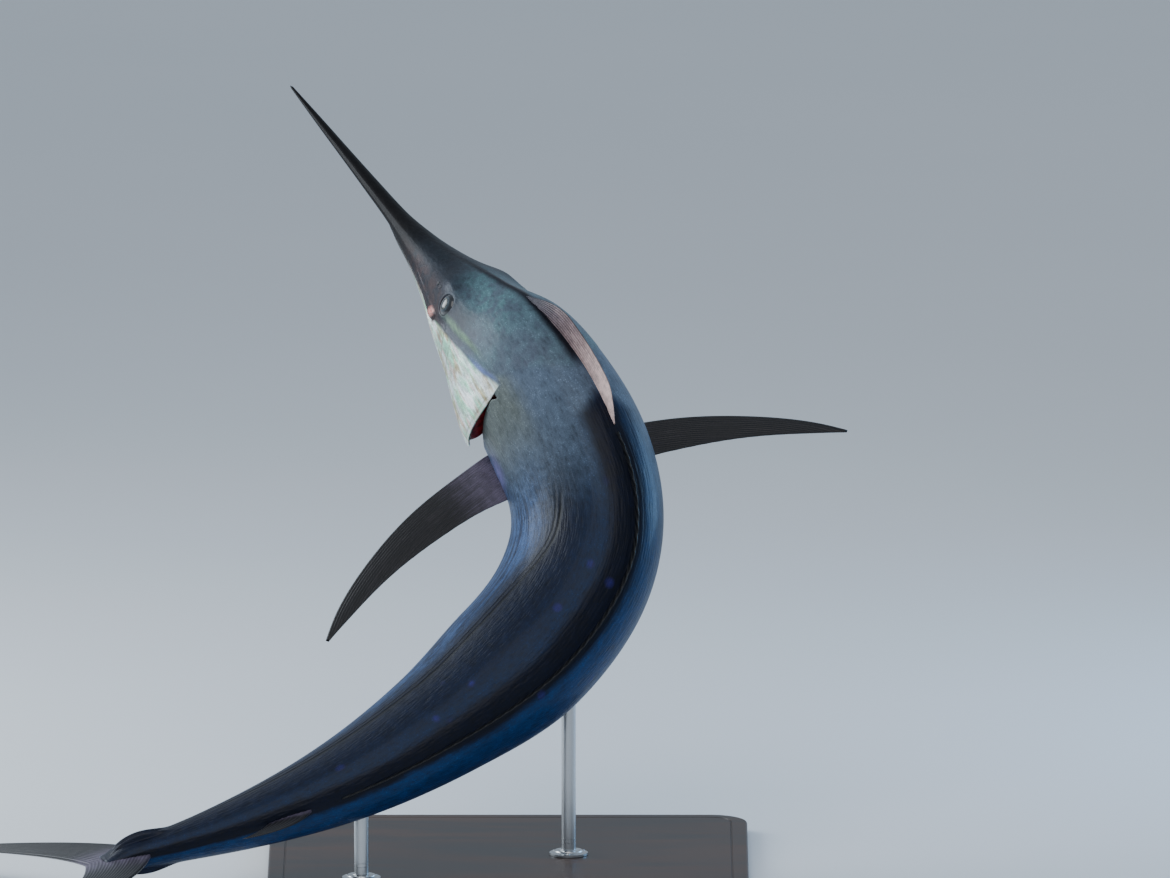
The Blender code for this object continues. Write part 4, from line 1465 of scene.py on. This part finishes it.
@dataclass
class FoldedFin:
    """A tall fin laid back along the body, its rays running towards the tail."""

    name: str
    replaces: tuple[str, ...]
    sign: int
    start: float
    end: float
    peak: float
    height: float
    rays: int
    thickness: float
    lean: float = 0.0
    rows: int = 110

    def build(self) -> bpy.types.Object:
        """Make the fin, its middle set off to the right by the lean.

        Returns:
            The closed fin.
        """
        place = np.linspace(self.start, self.end, self.rows)
        shoulder = self.start * 0.2 + self.end * 0.8
        crest = Smooth(
            (self.start, self.peak, shoulder, self.end), (0.0005, self.height, self.height * 0.90, 0.0022)
        )
        edge = BODY.curves["back" if self.sign > 0 else "belly"]
        share = np.linspace(0, 1, 4 * self.rays + 1)[None, :]
        low = edge(place)[:, None] - 0.004
        high = edge(place)[:, None] + crest(place)[:, None]
        along = ((place - self.start) / (self.end - self.start))[:, None] * np.ones_like(share)
        across = np.broadcast_to(share * self.rays, along.shape)
        height = self.sign * BODY.length * (low + (high - low) * share)
        half = self.thickness / 2 * (1 - 0.6 * share) * (1 - 0.6 * along) + ridges(across, 0.0006)
        half = half * np.clip((1 - share) * 16, 0.25, 1) * np.clip((1 - along) * 20, 0.2, 1)
        aside = self.lean * np.sin(math.pi * along)
        grid = np.broadcast_to(place[:, None], height.shape)
        left = BODY.put(grid, height, half - aside)
        right = BODY.put(grid, height, -half - aside)
        return blade(self.name, left, right, across, 0.05 + 0.95 * along)


@dataclass
class LowFin:
    """The low hind part of the first dorsal fin, folded down as a ridge crossed by rays."""

    name: str = "dorsal_ridge"
    replaces: tuple[str, ...] = ("dorsal_fin_rear",)
    start: float = 0.361
    end: float = 0.775
    height: float = 0.0045
    rays: int = 41

    def build(self) -> bpy.types.Object:
        """Make the ridge.

        Returns:
            The closed fin.
        """
        place = np.linspace(self.start, self.end, 6 * self.rays + 1)
        rise = Smooth(
            (self.start, self.start + 0.02, self.end - 0.05, self.end),
            (self.height * 0.6, self.height, self.height * 0.7, self.height * 0.3),
        )(place)[:, None]
        up = np.linspace(0, 1, 9)[None, :]
        foot = BODY.curves["back"](place)[:, None] - 0.003
        number = (place[:, None] - self.start) / (self.end - self.start) * self.rays
        across = number - 1.6 * up ** 1.4
        tooth = 0.82 + 0.18 * np.sin(np.pi * (number - 1.6)) ** 2
        height = (foot + (rise * tooth + 0.003) * up) * BODY.length
        half = (0.0034 - 0.0026 * up ** 1.5) + ridges(across, 0.0006) * (1 - up ** 4)
        grid = np.broadcast_to(place[:, None], height.shape)
        along = np.broadcast_to(0.2 + 0.8 * up, height.shape)
        left = BODY.put(grid, height, half)
        right = BODY.put(grid, height, -half)
        return blade(self.name, left, right, across, along)


@dataclass
class Sided:
    """A piece that the fish has on each side, named after its side."""

    side: Side
    word: ClassVar[str]
    node: ClassVar[str]

    @property
    def name(self) -> str:
        """The piece's name."""
        return f"{self.word}_{self.side.word}"

    @property
    def replaces(self) -> tuple[str, ...]:
        """The solid that it stands for."""
        return (f"{self.node}_{self.side.word}",)


@dataclass
class PectoralFin(Sided):
    """A long scythe-shaped fin held out from the flank."""

    word = "pectoral"
    node = "pectoral_fin"
    twist: float
    reach: Point
    sweep: float = 34.4
    root: float = 0.3127
    turn: float = 126.6
    length: float = 0.2296
    thickness: float = 0.0045
    rays: int = 22
    rows: int = 90
    # How far the fin runs in under the skin, as a share of its length.
    buried: float = 0.16
    chord: tuple[Pair, ...] = (
        (0.0, 0.0516),
        (0.15, 0.0435),
        (0.35, 0.0375),
        (0.6, 0.0265),
        (0.85, 0.0146),
        (1.0, 0.003),
    )

    def build(self) -> bpy.types.Object:
        """Sweep the fin out along its bent middle line.

        Returns:
            The closed fin.
        """
        sign = self.side.value
        start = BODY.on_skin(self.root, sign * self.turn)
        bill, back, left = BODY.directions(np.asarray(self.root))
        forward, up, out = self.reach
        reach = bill * forward + back * up + left * out * sign
        reach = reach / np.linalg.norm(reach)
        rear = -bill + reach * np.dot(bill, reach)
        rear = rear / np.linalg.norm(rear)
        twist = math.radians(self.twist)
        rear = rear * math.cos(twist) + np.cross(reach, rear) * math.sin(twist)
        flat = np.cross(reach, rear)
        share = np.linspace(-self.buried, 1, self.rows)
        outer = np.maximum(share, 0)
        span = self.length * BODY.length
        bent = np.radians(self.sweep) * outer
        along = reach * np.cos(bent)[:, None] + rear * np.sin(bent)[:, None]
        behind = rear * np.cos(bent)[:, None] - reach * np.sin(bent)[:, None]
        step = (share[1] - share[0]) * span
        walk = np.concatenate([np.zeros((1, 3)), np.cumsum((along[1:] + along[:-1]) / 2 * step, axis=0)])
        middle = start + reach * share[0] * span + walk
        chord = Smooth(*zip(*self.chord))(outer)[:, None] * BODY.length
        across = np.linspace(-0.5, 0.5, 4 * self.rays + 1)[None, :]
        line = middle[:, None, :] + behind[:, None, :] * (across * chord)[..., None]
        body = np.sin(np.pi * np.clip(across + 0.62, 0.10, 0.955)) * (1 - 0.75 * outer)[:, None]
        number = (across + 0.5) * chord / (self.chord[0][1] * BODY.length) * self.rays
        ribs = ridges(number, 0.0006) * (1 - outer ** 3)[:, None]
        half = np.maximum(self.thickness * body + ribs, 0.0003)
        face = flat * half[..., None]
        return blade(self.name, line + face, line - face, number, np.broadcast_to(outer[:, None], half.shape))


@dataclass
class PelvicFin(Sided):
    """A thin fin folded along the belly."""

    word = "pelvic"
    node = "pelvic_fin"
    start: float = 0.288
    end: float = 0.43
    turn: float = 171.0
    spread: float = 3.2
    rays: int = 3

    def build(self) -> bpy.types.Object:
        """Make the fin.

        Returns:
            The closed fin.
        """
        place = np.linspace(self.start, self.end, 60)[:, None]
        share = (place - self.start) / (self.end - self.start)
        fan = np.linspace(-1, 1, 6 * self.rays + 1)[None, :]
        turn = self.turn + fan * self.spread * (1 - 0.7 * share)
        across = np.broadcast_to((fan + 1) / 2 * self.rays, turn.shape)
        thick = (0.0045 - 0.0030 * share) * (1 - 0.35 * fan ** 2) + ridges(across, 0.0005)
        grid = np.broadcast_to(place, turn.shape)
        outer = BODY.on_skin(grid, self.side.value * turn, 0.0004 + thick)
        inner = BODY.on_skin(grid, self.side.value * turn, np.full_like(thick, -0.001))
        return blade(self.name, outer, inner, across, np.broadcast_to(0.3 + 0.7 * share, turn.shape))


def small_fin(name: str, node: str, sign: int, start: float) -> MedianFin:
    """A small second dorsal or anal fin with a drawn-out hind tip.

    Args:
        name: the piece's name.
        node: the solid that it stands for.
        sign: 1 on the back and -1 on the belly.
        start: the place where its root begins.

    Returns:
        The fin, not yet built.
    """
    edge = BODY.curves["back" if sign > 0 else "belly"]
    sunk = 0.004
    foot = start + 0.04
    root = float(edge(start)) - sunk
    hind = float(edge(foot)) - sunk
    lead = ((start, root), (start + 0.018, root + 0.040), (start + 0.066, hind + 0.026))
    trail = ((foot, hind), (foot + 0.004, hind + 0.014), (foot + 0.030, hind + 0.022))
    signed = [tuple((place, sign * height) for place, height in curve) for curve in (lead, trail)]
    return MedianFin(name, (node,), *signed, rays=7, rows=40, thickness=0.008)


@dataclass
class Eye(Sided):
    """One eyeball, set in the side of the head, with its finish's map from the gaze outwards."""

    word = "eyeball"
    node = "eye"
    segments: int = 64
    rings: int = 48
    bulge: float = 0.0006

    def build(self) -> bpy.types.Object:
        """Make the ball, pressed flat along its gaze.

        Returns:
            The closed ball.
        """
        point, out, ahead, round_ = BODY.frame_at(HEAD.eye_place, self.side.value * HEAD.eye_turn)
        centre = point - out * HEAD.eye_depth
        deselect()
        bpy.ops.mesh.primitive_uv_sphere_add(segments=self.segments, ring_count=self.rings, radius=1)
        ball = named(self.name)
        flat = np.empty(len(ball.data.vertices) * 3, dtype=np.float32)
        ball.data.vertices.foreach_get("co", flat)
        unit = flat.reshape(-1, 3).astype(float)
        gaze = np.hypot(unit[:, 0], unit[:, 1])
        front = unit[:, 2] > 0
        deep = HEAD.eye_radius * HEAD.eye_flatness
        bulge = np.where(front, self.bulge * (1 - ramp(gaze, 0.35, 0.62)), 0)
        placed = (
            centre
            + ahead * (unit[:, 0] * HEAD.eye_radius)[:, None]
            + round_ * (unit[:, 1] * HEAD.eye_radius)[:, None]
            + out * (unit[:, 2] * deep + bulge - self.bulge)[:, None]
        )
        ball.data.vertices.foreach_set("co", placed.astype(np.float32).ravel())
        store(ball, "gaze", np.where(front, gaze, 1.0))
        return sealed(ball)


@dataclass(frozen=True)
class EyeFinish:
    """A dark pupil in a silvery blue iris, under clear gloss."""

    pupil: Colour = srgb(2, 3, 6)
    iris: Colour = srgb(22, 34, 48)
    fleck: Colour = srgb(92, 104, 108)
    outside: Colour = srgb(12, 14, 20)
    ring: Colour = srgb(150, 138, 104)

    def make(self) -> bpy.types.Material:
        """Build the finish.

        Returns:
            The eye's material.
        """
        s = Shader("eye_gloss")
        gaze = s.stored("gaze")
        flecks = s.noise(s.spot(), 520.0, 4.0, 0.65)
        iris = s.mix(flecks.rise(0.35, 0.7), self.iris, self.fleck)
        iris = s.mix(gaze.rise(0.55, 0.74), iris, self.outside)
        colour = s.layered(
            self.pupil,
            ((gaze + (flecks - 0.5) * 0.03).rise(0.42, 0.455), iris),
            (gaze.near(0.455, 0.030) * 0.6, self.ring),
        )
        return s.finish(
            base_color=colour,
            roughness=0.25,
            metallic=0.30 * gaze.rise(0.43, 0.48) * (1 - gaze.rise(0.55, 0.7)),
            coat_weight=0.8,
            coat_roughness=0.03,
        )


@dataclass
class Gills(Sided):
    """The gill arches of one side, each a rod with a comb of filaments, behind a wall of leaves."""

    word = "gill_combs"
    node = "gills"
    arches: tuple[float, ...] = (0.214, 0.228, 0.242, 0.256)
    filaments: int = 74
    leaves: int = 90
    long: float = 0.021
    wide: float = 0.00085
    rod_rows: int = 48
    seed: int = 11

    def _lifted(self, place: Grid, turn: Grid, lift: Grid) -> Grid:
        """Points of this side, lifted off the plain skin."""
        return BODY.on_skin(place, self.side.value * turn, lift)

    def _rod(self, arch: float) -> bpy.types.Object:
        """Lay one arch, a rod, round the floor of the hollow.

        Args:
            arch: the arch's place.

        Returns:
            The rod.
        """
        turn = np.linspace(GILL.top + 5, GILL.bottom - 14, self.rod_rows)[:, None]
        swing = np.linspace(0, 2 * math.pi, 11)[None, :]
        radius = 0.0024 * np.sin(np.pi * np.linspace(0.0, 1.0, self.rod_rows))[:, None] ** 0.4
        place = arch + radius * np.cos(swing) / BODY.length
        lift = GILL.floor + 0.0016 + radius * np.sin(swing)
        return sealed(woven("arch", self._lifted(place, turn, lift)))

    def _veil(self) -> bpy.types.Object:
        """Stand up the wall of gill leaves just inside the cover's rear edge.

        Returns:
            The wall.
        """
        share = np.linspace(0, 1, 4 * self.leaves + 1)[:, None]
        turn = GILL.top + 4 + (GILL.bottom - GILL.top - 16) * share
        up = np.concatenate([np.linspace(0, 1, 12), np.linspace(1, 0, 12)])[None, :]
        side = np.repeat([1.0, -1.0], 12)[None, :]
        ends = np.clip(np.sin(np.pi * share), 0, 1) ** 0.3
        half = (0.0010 + ridges(share * self.leaves, 0.0012)) * np.sqrt(1 - up ** 2) * ends
        place = GILL.edge(turn) - 0.0055 + 0.002 * np.sin(np.pi * up) + side * half / BODY.length
        foot = GILL.floor - 0.001
        rise = GILL.lift(GILL.edge(turn), turn) - 0.0062 - foot
        return sealed(woven("veil", self._lifted(place, turn, foot + rise * up * ends)))

    def _comb(self, arch: float, seed: int) -> bpy.types.Object:
        """Make the filaments of one arch, each a curved tapering leaf.

        Args:
            arch: the arch's place.
            seed: the start of its random draws.

        Returns:
            The filaments as one piece.
        """
        draw = np.random.default_rng(seed)
        share = np.linspace(0, 1, 6)[:, None]
        across = np.array([-1.0, 0.0, 1.0, 0.0, -1.0])[None, :]
        over = np.array([0.0, 1.0, 0.0, -1.0, 0.0])[None, :]
        half = self.wide * (1 - 0.75 * share)
        leaves = []
        for turn in np.linspace(GILL.top + 8, GILL.bottom - 18, self.filaments):
            place = arch + self.long * (0.85 + 0.3 * draw.random()) / BODY.length * share
            rise = 0.010 * (0.8 + 0.4 * draw.random())
            lift = GILL.floor + 0.0015 + rise * np.sin(share * math.pi * 0.62)
            fanned = turn + across * half / BODY.stretch(arch, turn) + draw.normal(0, 0.25)
            points = self._lifted(place, fanned, lift + over * half * 0.5)
            points[-1] = points[-1].mean(axis=0)
            leaves.append(woven("leaf", points))
        return joined(leaves, "comb")

    def build(self) -> bpy.types.Object:
        """Make the arches and combs as one piece.

        Returns:
            The joined piece.
        """
        pieces = [self._veil()]
        for k, arch in enumerate(self.arches):
            pieces += [self._rod(arch), self._comb(arch, self.seed + k)]
        return joined(pieces, self.name)


@dataclass(frozen=True)
class GillFinish:
    """Wet dark red gills."""

    dark: Colour = srgb(92, 18, 26)
    bright: Colour = srgb(156, 40, 46)

    def make(self) -> bpy.types.Material:
        """Build the finish.

        Returns:
            The gills' material.
        """
        s = Shader("gill_red")
        cloud = s.noise(s.spot(), 70.0, 4.0)
        fine = s.noise(s.spot(), 700.0, 3.0)
        return s.finish(
            base_color=s.shade(s.mix(cloud.rise(0.35, 0.68), self.dark, self.bright), 0.6 + 0.7 * fine),
            roughness=0.30 + 0.2 * fine,
            coat_weight=0.5,
            coat_roughness=0.1,
            normal=s.bump(fine, 0.0008, 0.6),
        )


@dataclass
class Stand:
    """The display stand: a board with a rounded edge, two steel rods and their collars."""

    board: Point = (1.00, 0.80, 0.030)
    corner: float = 0.08
    edge: float = 0.006
    margin: float = 0.026
    rod_radius: float = 0.015
    collar_radius: float = 0.040
    collar_height: float = 0.012
    gap: float = 0.0003
    bands: Pair = (0.026, 0.034)
    waist: float = 0.0009
    screws: int = 3
    screw_ring: float = 0.0335
    # Each rod's name and the place where it enters the body.
    rods: tuple[tuple[str, float], ...] = (("front", 0.475), ("rear", 0.735))

    def build_board(self) -> bpy.types.Object:
        """Make the board: a block with round corners and a softened top edge.

        Returns:
            The finished board.
        """
        thick = self.board[2]
        deselect()
        bpy.ops.mesh.primitive_cube_add(size=1, location=(0, 0, thick / 2))
        board = named("board")
        board.scale = self.board
        bpy.ops.object.transform_apply(location=True, rotation=True, scale=True)
        self._bevel_where(board, lambda a, b: abs(a.z - b.z) > thick / 2, self.corner, 20)
        self._bevel_where(board, lambda a, b: min(a.z, b.z) > thick - 1e-5, self.edge, 6)
        self._bevel_where(board, lambda a, b: max(a.z, b.z) < 1e-5, 0.0015, 2)
        self._rout(board)
        bpy.ops.object.shade_smooth_by_angle(angle=math.radians(35))
        return board

    def _rout(self, board: bpy.types.Object) -> None:
        """Rout a shallow groove round the board's top, a little in from its edge.

        Args:
            board: the board, still without the groove.
        """
        points = board.data.vertices
        bpy.ops.object.mode_set(mode="EDIT")
        bpy.ops.mesh.select_mode(type="FACE")
        bpy.ops.mesh.select_all(action="DESELECT")
        bpy.ops.object.mode_set(mode="OBJECT")
        for face in board.data.polygons:
            face.select = min(points[k].co.z for k in face.vertices) > self.board[2] - 1e-6
        bpy.ops.object.mode_set(mode="EDIT")
        for inward, down in ((self.margin, 0.0), (0.0012, -0.0018), (0.0020, 0.0), (0.0012, 0.0018)):
            bpy.ops.mesh.inset(thickness=inward, depth=down)
        bpy.ops.object.mode_set(mode="OBJECT")

    @staticmethod
    def _bevel_where(
        piece: bpy.types.Object, test: Callable[..., bool], width: float, segments: int
    ) -> None:
        """Round the edges whose two ends pass a test.

        Args:
            piece: the piece.
            test: a function of an edge's two end points.
            width: the rounding's width in metres.
            segments: its number of faces.
        """
        bpy.ops.object.mode_set(mode="EDIT")
        bpy.ops.mesh.select_mode(type="EDGE")
        bpy.ops.mesh.select_all(action="DESELECT")
        bpy.ops.object.mode_set(mode="OBJECT")
        points = piece.data.vertices
        for edge in piece.data.edges:
            edge.select = test(*(points[k].co for k in edge.vertices))
        bpy.ops.object.mode_set(mode="EDIT")
        bpy.ops.mesh.bevel(offset=width, segments=segments, profile=0.5, affect="EDGES")
        bpy.ops.object.mode_set(mode="OBJECT")

    @staticmethod
    def _turned(name: str, foot: Grid, profile: tuple[Pair, ...], count: int = 72) -> bpy.types.Object:
        """A turned piece from radii and heights, closed at its ends.

        Args:
            name: the piece's name.
            foot: the axis' place and the height from which the profile is measured.
            profile: radii and heights from the bottom to the top.
            count: number of faces round it.

        Returns:
            The closed piece.
        """
        swing = np.linspace(0, 2 * math.pi, count + 1)[None, :]
        radius = np.array([r for r, _ in profile])[:, None]
        height = np.array([h for _, h in profile])[:, None]
        x = foot[0] + radius * np.cos(swing)
        y = foot[1] + radius * np.sin(swing)
        z = foot[2] + height + 0 * swing
        piece = sealed(woven(name, np.stack([x, y, z], -1)), 1e-6)
        bpy.ops.object.shade_smooth_by_angle(angle=math.radians(30))
        return piece

    def _foot(self, place: float) -> Grid:
        """The point on the board right under a place of the body."""
        return np.array([*BODY.spine(place)[:2], self.board[2] + self.gap])

    def build_rod(self, word: str, place: float) -> bpy.types.Object:
        """Make one rod, with two turned bands over its collar, up into the body.

        Args:
            word: which rod it is.
            place: where it enters the body.

        Returns:
            The rod.
        """
        foot = self._foot(place)
        radius = self.rod_radius
        waist = radius - self.waist
        top = BODY.spine(place)[2] - foot[2] - float(BODY.curves["half_width"](place)) * BODY.length * 0.5
        profile = [(0.0, 0.0), (radius, 0.0)]
        for band in self.bands:
            profile += [(radius, band), (waist, band + 0.0005)]
            profile += [(waist, band + 0.0017), (radius, band + 0.0022)]
        profile += [(radius, top - 0.001), (radius - 0.001, top), (0.0, top)]
        return self._turned(f"rod_{word}", foot, tuple(profile))

    def build_collar(self, word: str, place: float) -> bpy.types.Object:
        """Make one collar with a hollowed shoulder, and countersunk screws in it.

        Args:
            word: which rod's collar it is.
            place: where that rod enters the body.

        Returns:
            The collar with its screws.
        """
        foot = self._foot(place)
        inner = self.rod_radius + self.gap
        outer = self.collar_radius
        tall = self.collar_height
        hollow = (outer - inner - 0.004) * 0.55
        profile = [(inner, tall), (inner, 0.0), (outer - 0.0006, 0.0), (outer, 0.0006), (outer, tall * 0.42)]
        for swing in np.linspace(0, math.pi / 2, 7)[1:]:
            rise = tall * (0.42 + 0.40 * (1 - math.cos(swing)))
            profile.append((outer - hollow * math.sin(swing) * 0.999, rise))
        profile += [(inner + 0.0045, tall * 0.93), (inner + 0.0036, tall), (inner, tall)]
        pieces = [self._turned(f"collar_{word}", foot, tuple(profile))]
        head = (
            (0.0, 0.0034),
            (0.0031, 0.0034),
            (0.0036, 0.0062),
            (0.0033, 0.0069),
            (0.0018, 0.0071),
            (0.0015, 0.0050),
            (0.0, 0.0050),
        )
        for k in range(self.screws):
            swing = 2 * math.pi * (k / self.screws + 0.08)
            spot = foot + np.array([math.cos(swing), math.sin(swing), 0]) * self.screw_ring
            pieces.append(self._turned("screw", spot, head, 24))
        return joined(pieces, f"collar_{word}")


@dataclass(frozen=True)
class SteelFinish:
    """Brushed stainless steel, its fine scratches running round each turned piece."""

    dull: Colour = srgb(176, 178, 180)
    bright: Colour = srgb(206, 208, 210)

    def make(self) -> bpy.types.Material:
        """Build the finish.

        Returns:
            The steel's material.
        """
        s = Shader("brushed_steel")
        brush = s.noise(s.scaled(s.spot(), (60.0, 60.0, 1500.0)), 1.0, 3.0, 0.6)
        smear = s.noise(s.spot(), 14.0, 3.0)
        return s.finish(
            base_color=s.mix(brush, self.dull, self.bright),
            metallic=1.0,
            roughness=0.20 + 0.14 * brush + 0.08 * smear,
            normal=s.bump(brush, 0.0002, 0.5),
        )


@dataclass(frozen=True)
class BoardFinish:
    """Dark stained wood with its grain along the board, under satin varnish."""

    dark: Colour = srgb(32, 21, 16)
    light: Colour = srgb(66, 43, 30)
    pore: Colour = srgb(18, 12, 9)

    def make(self) -> bpy.types.Material:
        """Build the finish.

        Returns:
            The wood's material.
        """
        s = Shader("stained_board")
        place = s.spot()
        drift = s.noise(s.scaled(place, (0.9, 5.0, 5.0)), 1.0, 3.0)
        x, y, z = s.parts(place)
        bands = s.noise(s.joined(x * 1.1, y * 9.0 + drift * 2.6, z * 9.0), 2.2, 5.0, 0.6)
        pores = s.noise(s.scaled(place, (24.0, 900.0, 900.0)), 1.0, 2.0)
        return s.finish(
            base_color=s.layered(
                self.dark,
                (bands.rise(0.34, 0.68), self.light),
                (pores.rise(0.58, 0.72) * 0.6, self.pore),
            ),
            roughness=0.38 + 0.14 * bands,
            specular_ior_level=0.35,
            coat_weight=0.12,
            coat_roughness=0.25,
            normal=s.bump(bands * 0.3 + pores * 0.7, 0.0004, 0.5),
        )


@dataclass(frozen=True)
class FloorFinish:
    """The studio's pale floor."""

    dull: Colour = srgb(228, 231, 234)
    bright: Colour = srgb(235, 237, 239)

    def make(self) -> bpy.types.Material:
        """Build the finish.

        Returns:
            The floor's material.
        """
        s = Shader("pale_floor")
        return s.finish(base_color=s.mix(s.noise(s.spot(), 0.6, 3.0), self.dull, self.bright), roughness=0.75)


@dataclass
class Studio:
    """The pale floor, the soft lights and the camera of the photograph."""

    distance: float = 60.0
    elevation: float = 10.0
    frame_width: float = 2.440
    aim_right: float = 0.0146
    aim_up: float = 0.0606
    floor_half: float = 75.0

    def build_floor(self) -> bpy.types.Object:
        """Lay the floor.

        Returns:
            The floor.
        """
        deselect()
        bpy.ops.mesh.primitive_grid_add(x_subdivisions=8, y_subdivisions=8, size=2 * self.floor_half)
        floor = bpy.context.active_object
        floor.name = "floor"
        floor.data.materials.append(FloorFinish().make())
        return floor

    @staticmethod
    def light(name: str, place: Point, target: Point, size: float, power: float, colour: Colour) -> None:
        """Hang one soft square light.

        Args:
            name: the light's name.
            place: where it hangs.
            target: the point that it faces.
            size: its side in metres.
            power: its power in watts.
            colour: its colour.
        """
        deselect()
        bpy.ops.object.light_add(type="AREA", location=place)
        lamp = bpy.context.active_object
        lamp.name = name
        lamp.data.shape = "SQUARE"
        lamp.data.size = size
        lamp.data.energy = power
        lamp.data.color = colour
        away = np.array(place) - np.array(target)
        flat = math.hypot(away[0], away[1])
        lamp.rotation_euler = (math.atan2(flat, away[2]), 0, math.atan2(away[0], -away[1]))

    def build_lights(self) -> None:
        """Hang the lights and set the room's own soft light."""
        middle = (-0.1, 0.1, 0.85)
        self.light("key", (-3.8, 1.6, 2.6), middle, 2.6, 150, (0.86, 0.94, 1.0))
        self.light("fill", (-0.6, -3.6, 4.8), middle, 4.5, 130, (1.0, 0.98, 0.96))
        self.light("rim", (3.2, 1.8, 1.4), middle, 1.6, 60, (0.30, 0.60, 1.0))
        world = bpy.data.worlds.new("studio")
        world.use_nodes = True
        ground = world.node_tree.nodes["Background"]
        ground.inputs["Color"].default_value = (0.66, 0.77, 0.90, 1)
        ground.inputs["Strength"].default_value = 0.62
        bpy.context.scene.world = world

    def build_camera(self) -> None:
        """Set the camera far off with a long lens, as the photograph was taken."""
        tip = math.radians(self.elevation)
        up = np.array([0, math.sin(tip), math.cos(tip)])
        ahead = np.array([0, math.cos(tip), -math.sin(tip)])
        aim = np.array(BODY.anchor) + np.array([self.aim_right, 0, 0]) + up * self.aim_up
        deselect()
        bpy.ops.object.camera_add(location=aim - ahead * self.distance)
        camera = bpy.context.active_object
        camera.rotation_euler = (math.pi / 2 - tip, 0, 0)
        camera.data.sensor_width = 36.0
        camera.data.lens = camera.data.sensor_width * self.distance / self.frame_width
        camera.data.clip_start = 1.0
        camera.data.clip_end = 400.0
        bpy.context.scene.camera = camera


FLESH = (
    "bill", "head", "lower_jaw", "gill_cover_left", "gill_cover_right", "shoulder",
    "trunk_front", "trunk_rear", "trunk_aft", "tail_stock",
)


def dress(piece: bpy.types.Object, material: bpy.types.Material, nodes: tuple[str, ...]) -> None:
    """Give a piece its finish and join it to the frame.

    Args:
        piece: the finished piece.
        material: its finish.
        nodes: the solids that it stands for.
    """
    piece.data.materials.clear()
    piece.data.materials.append(material)
    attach(piece, "root")
    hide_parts(*nodes)
    log.info("%s: %d faces, for %s", piece.name, len(piece.data.polygons), ", ".join(nodes))


def build_fish() -> None:
    """Make the fish, piece by piece."""
    dress(Skin().build(), SkinFinish().make(), FLESH)
    red = GillFinish().make()
    gloss = EyeFinish().make()
    for side in Side:
        gills = Gills(side)
        dress(gills.build(), red, gills.replaces)
        eye = Eye(side)
        dress(eye.build(), gloss, eye.replaces)
    lobe = FoldedFin(
        "dorsal_lobe",
        ("dorsal_fin_front",),
        sign=1,
        start=0.218,
        end=0.355,
        peak=0.270,
        height=0.0235,
        rays=9,
        thickness=0.007,
        lean=0.0075,
    )
    dress(lobe.build(), FinColours.LOBE.material(), lobe.replaces)
    anal = FoldedFin(
        "first_anal",
        ("anal_fin_first",),
        sign=-1,
        start=0.600,
        end=0.735,
        peak=0.640,
        height=0.0260,
        rays=9,
        thickness=0.008,
    )
    tail = MedianFin(
        "tail",
        ("tail_fin_upper", "tail_fin_lower"),
        lead=((0.938, 0.0), (0.978, 0.125), (1.105, 0.205)),
        trail=((1.0, 0.0), (1.014, 0.085), (1.112, 0.203)),
        rays=18,
        rows=90,
        thickness=0.013,
        both_ways=True,
    )
    fins = [
        LowFin(),
        small_fin("second_dorsal", "second_dorsal_fin", sign=1, start=0.800),
        anal,
        small_fin("second_anal", "anal_fin_second", sign=-1, start=0.792),
        tail,
        PectoralFin(Side.LEFT, twist=7.3, reach=(-0.085, -0.329, 0.94)),
        PectoralFin(Side.RIGHT, twist=-14.6, reach=(-0.052, 0.215, 0.975)),
        PelvicFin(Side.LEFT),
        PelvicFin(Side.RIGHT),
    ]
    dark = FinColours.DARK.material()
    for fin in fins:
        low = isinstance(fin, LowFin)
        dress(fin.build(), FinColours.RIDGE.material() if low else dark, fin.replaces)


def build_stand() -> None:
    """Make the display stand."""
    stand = Stand()
    steel = SteelFinish().make()
    dress(stand.build_board(), BoardFinish().make(), ("stand_base",))
    for word, place in stand.rods:
        dress(stand.build_rod(word, place), steel, (f"stand_rod_{word}",))
        dress(stand.build_collar(word, place), steel, (f"stand_collar_{word}",))


def main() -> None:
    """Build the fish, its stand and the studio."""
    logging.basicConfig(level=logging.INFO, format="%(name)s: %(message)s")
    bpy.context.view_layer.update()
    build_fish()
    build_stand()
    studio = Studio()
    studio.build_floor()
    studio.build_lights()
    studio.build_camera()


if __name__ == "__main__":
    main()
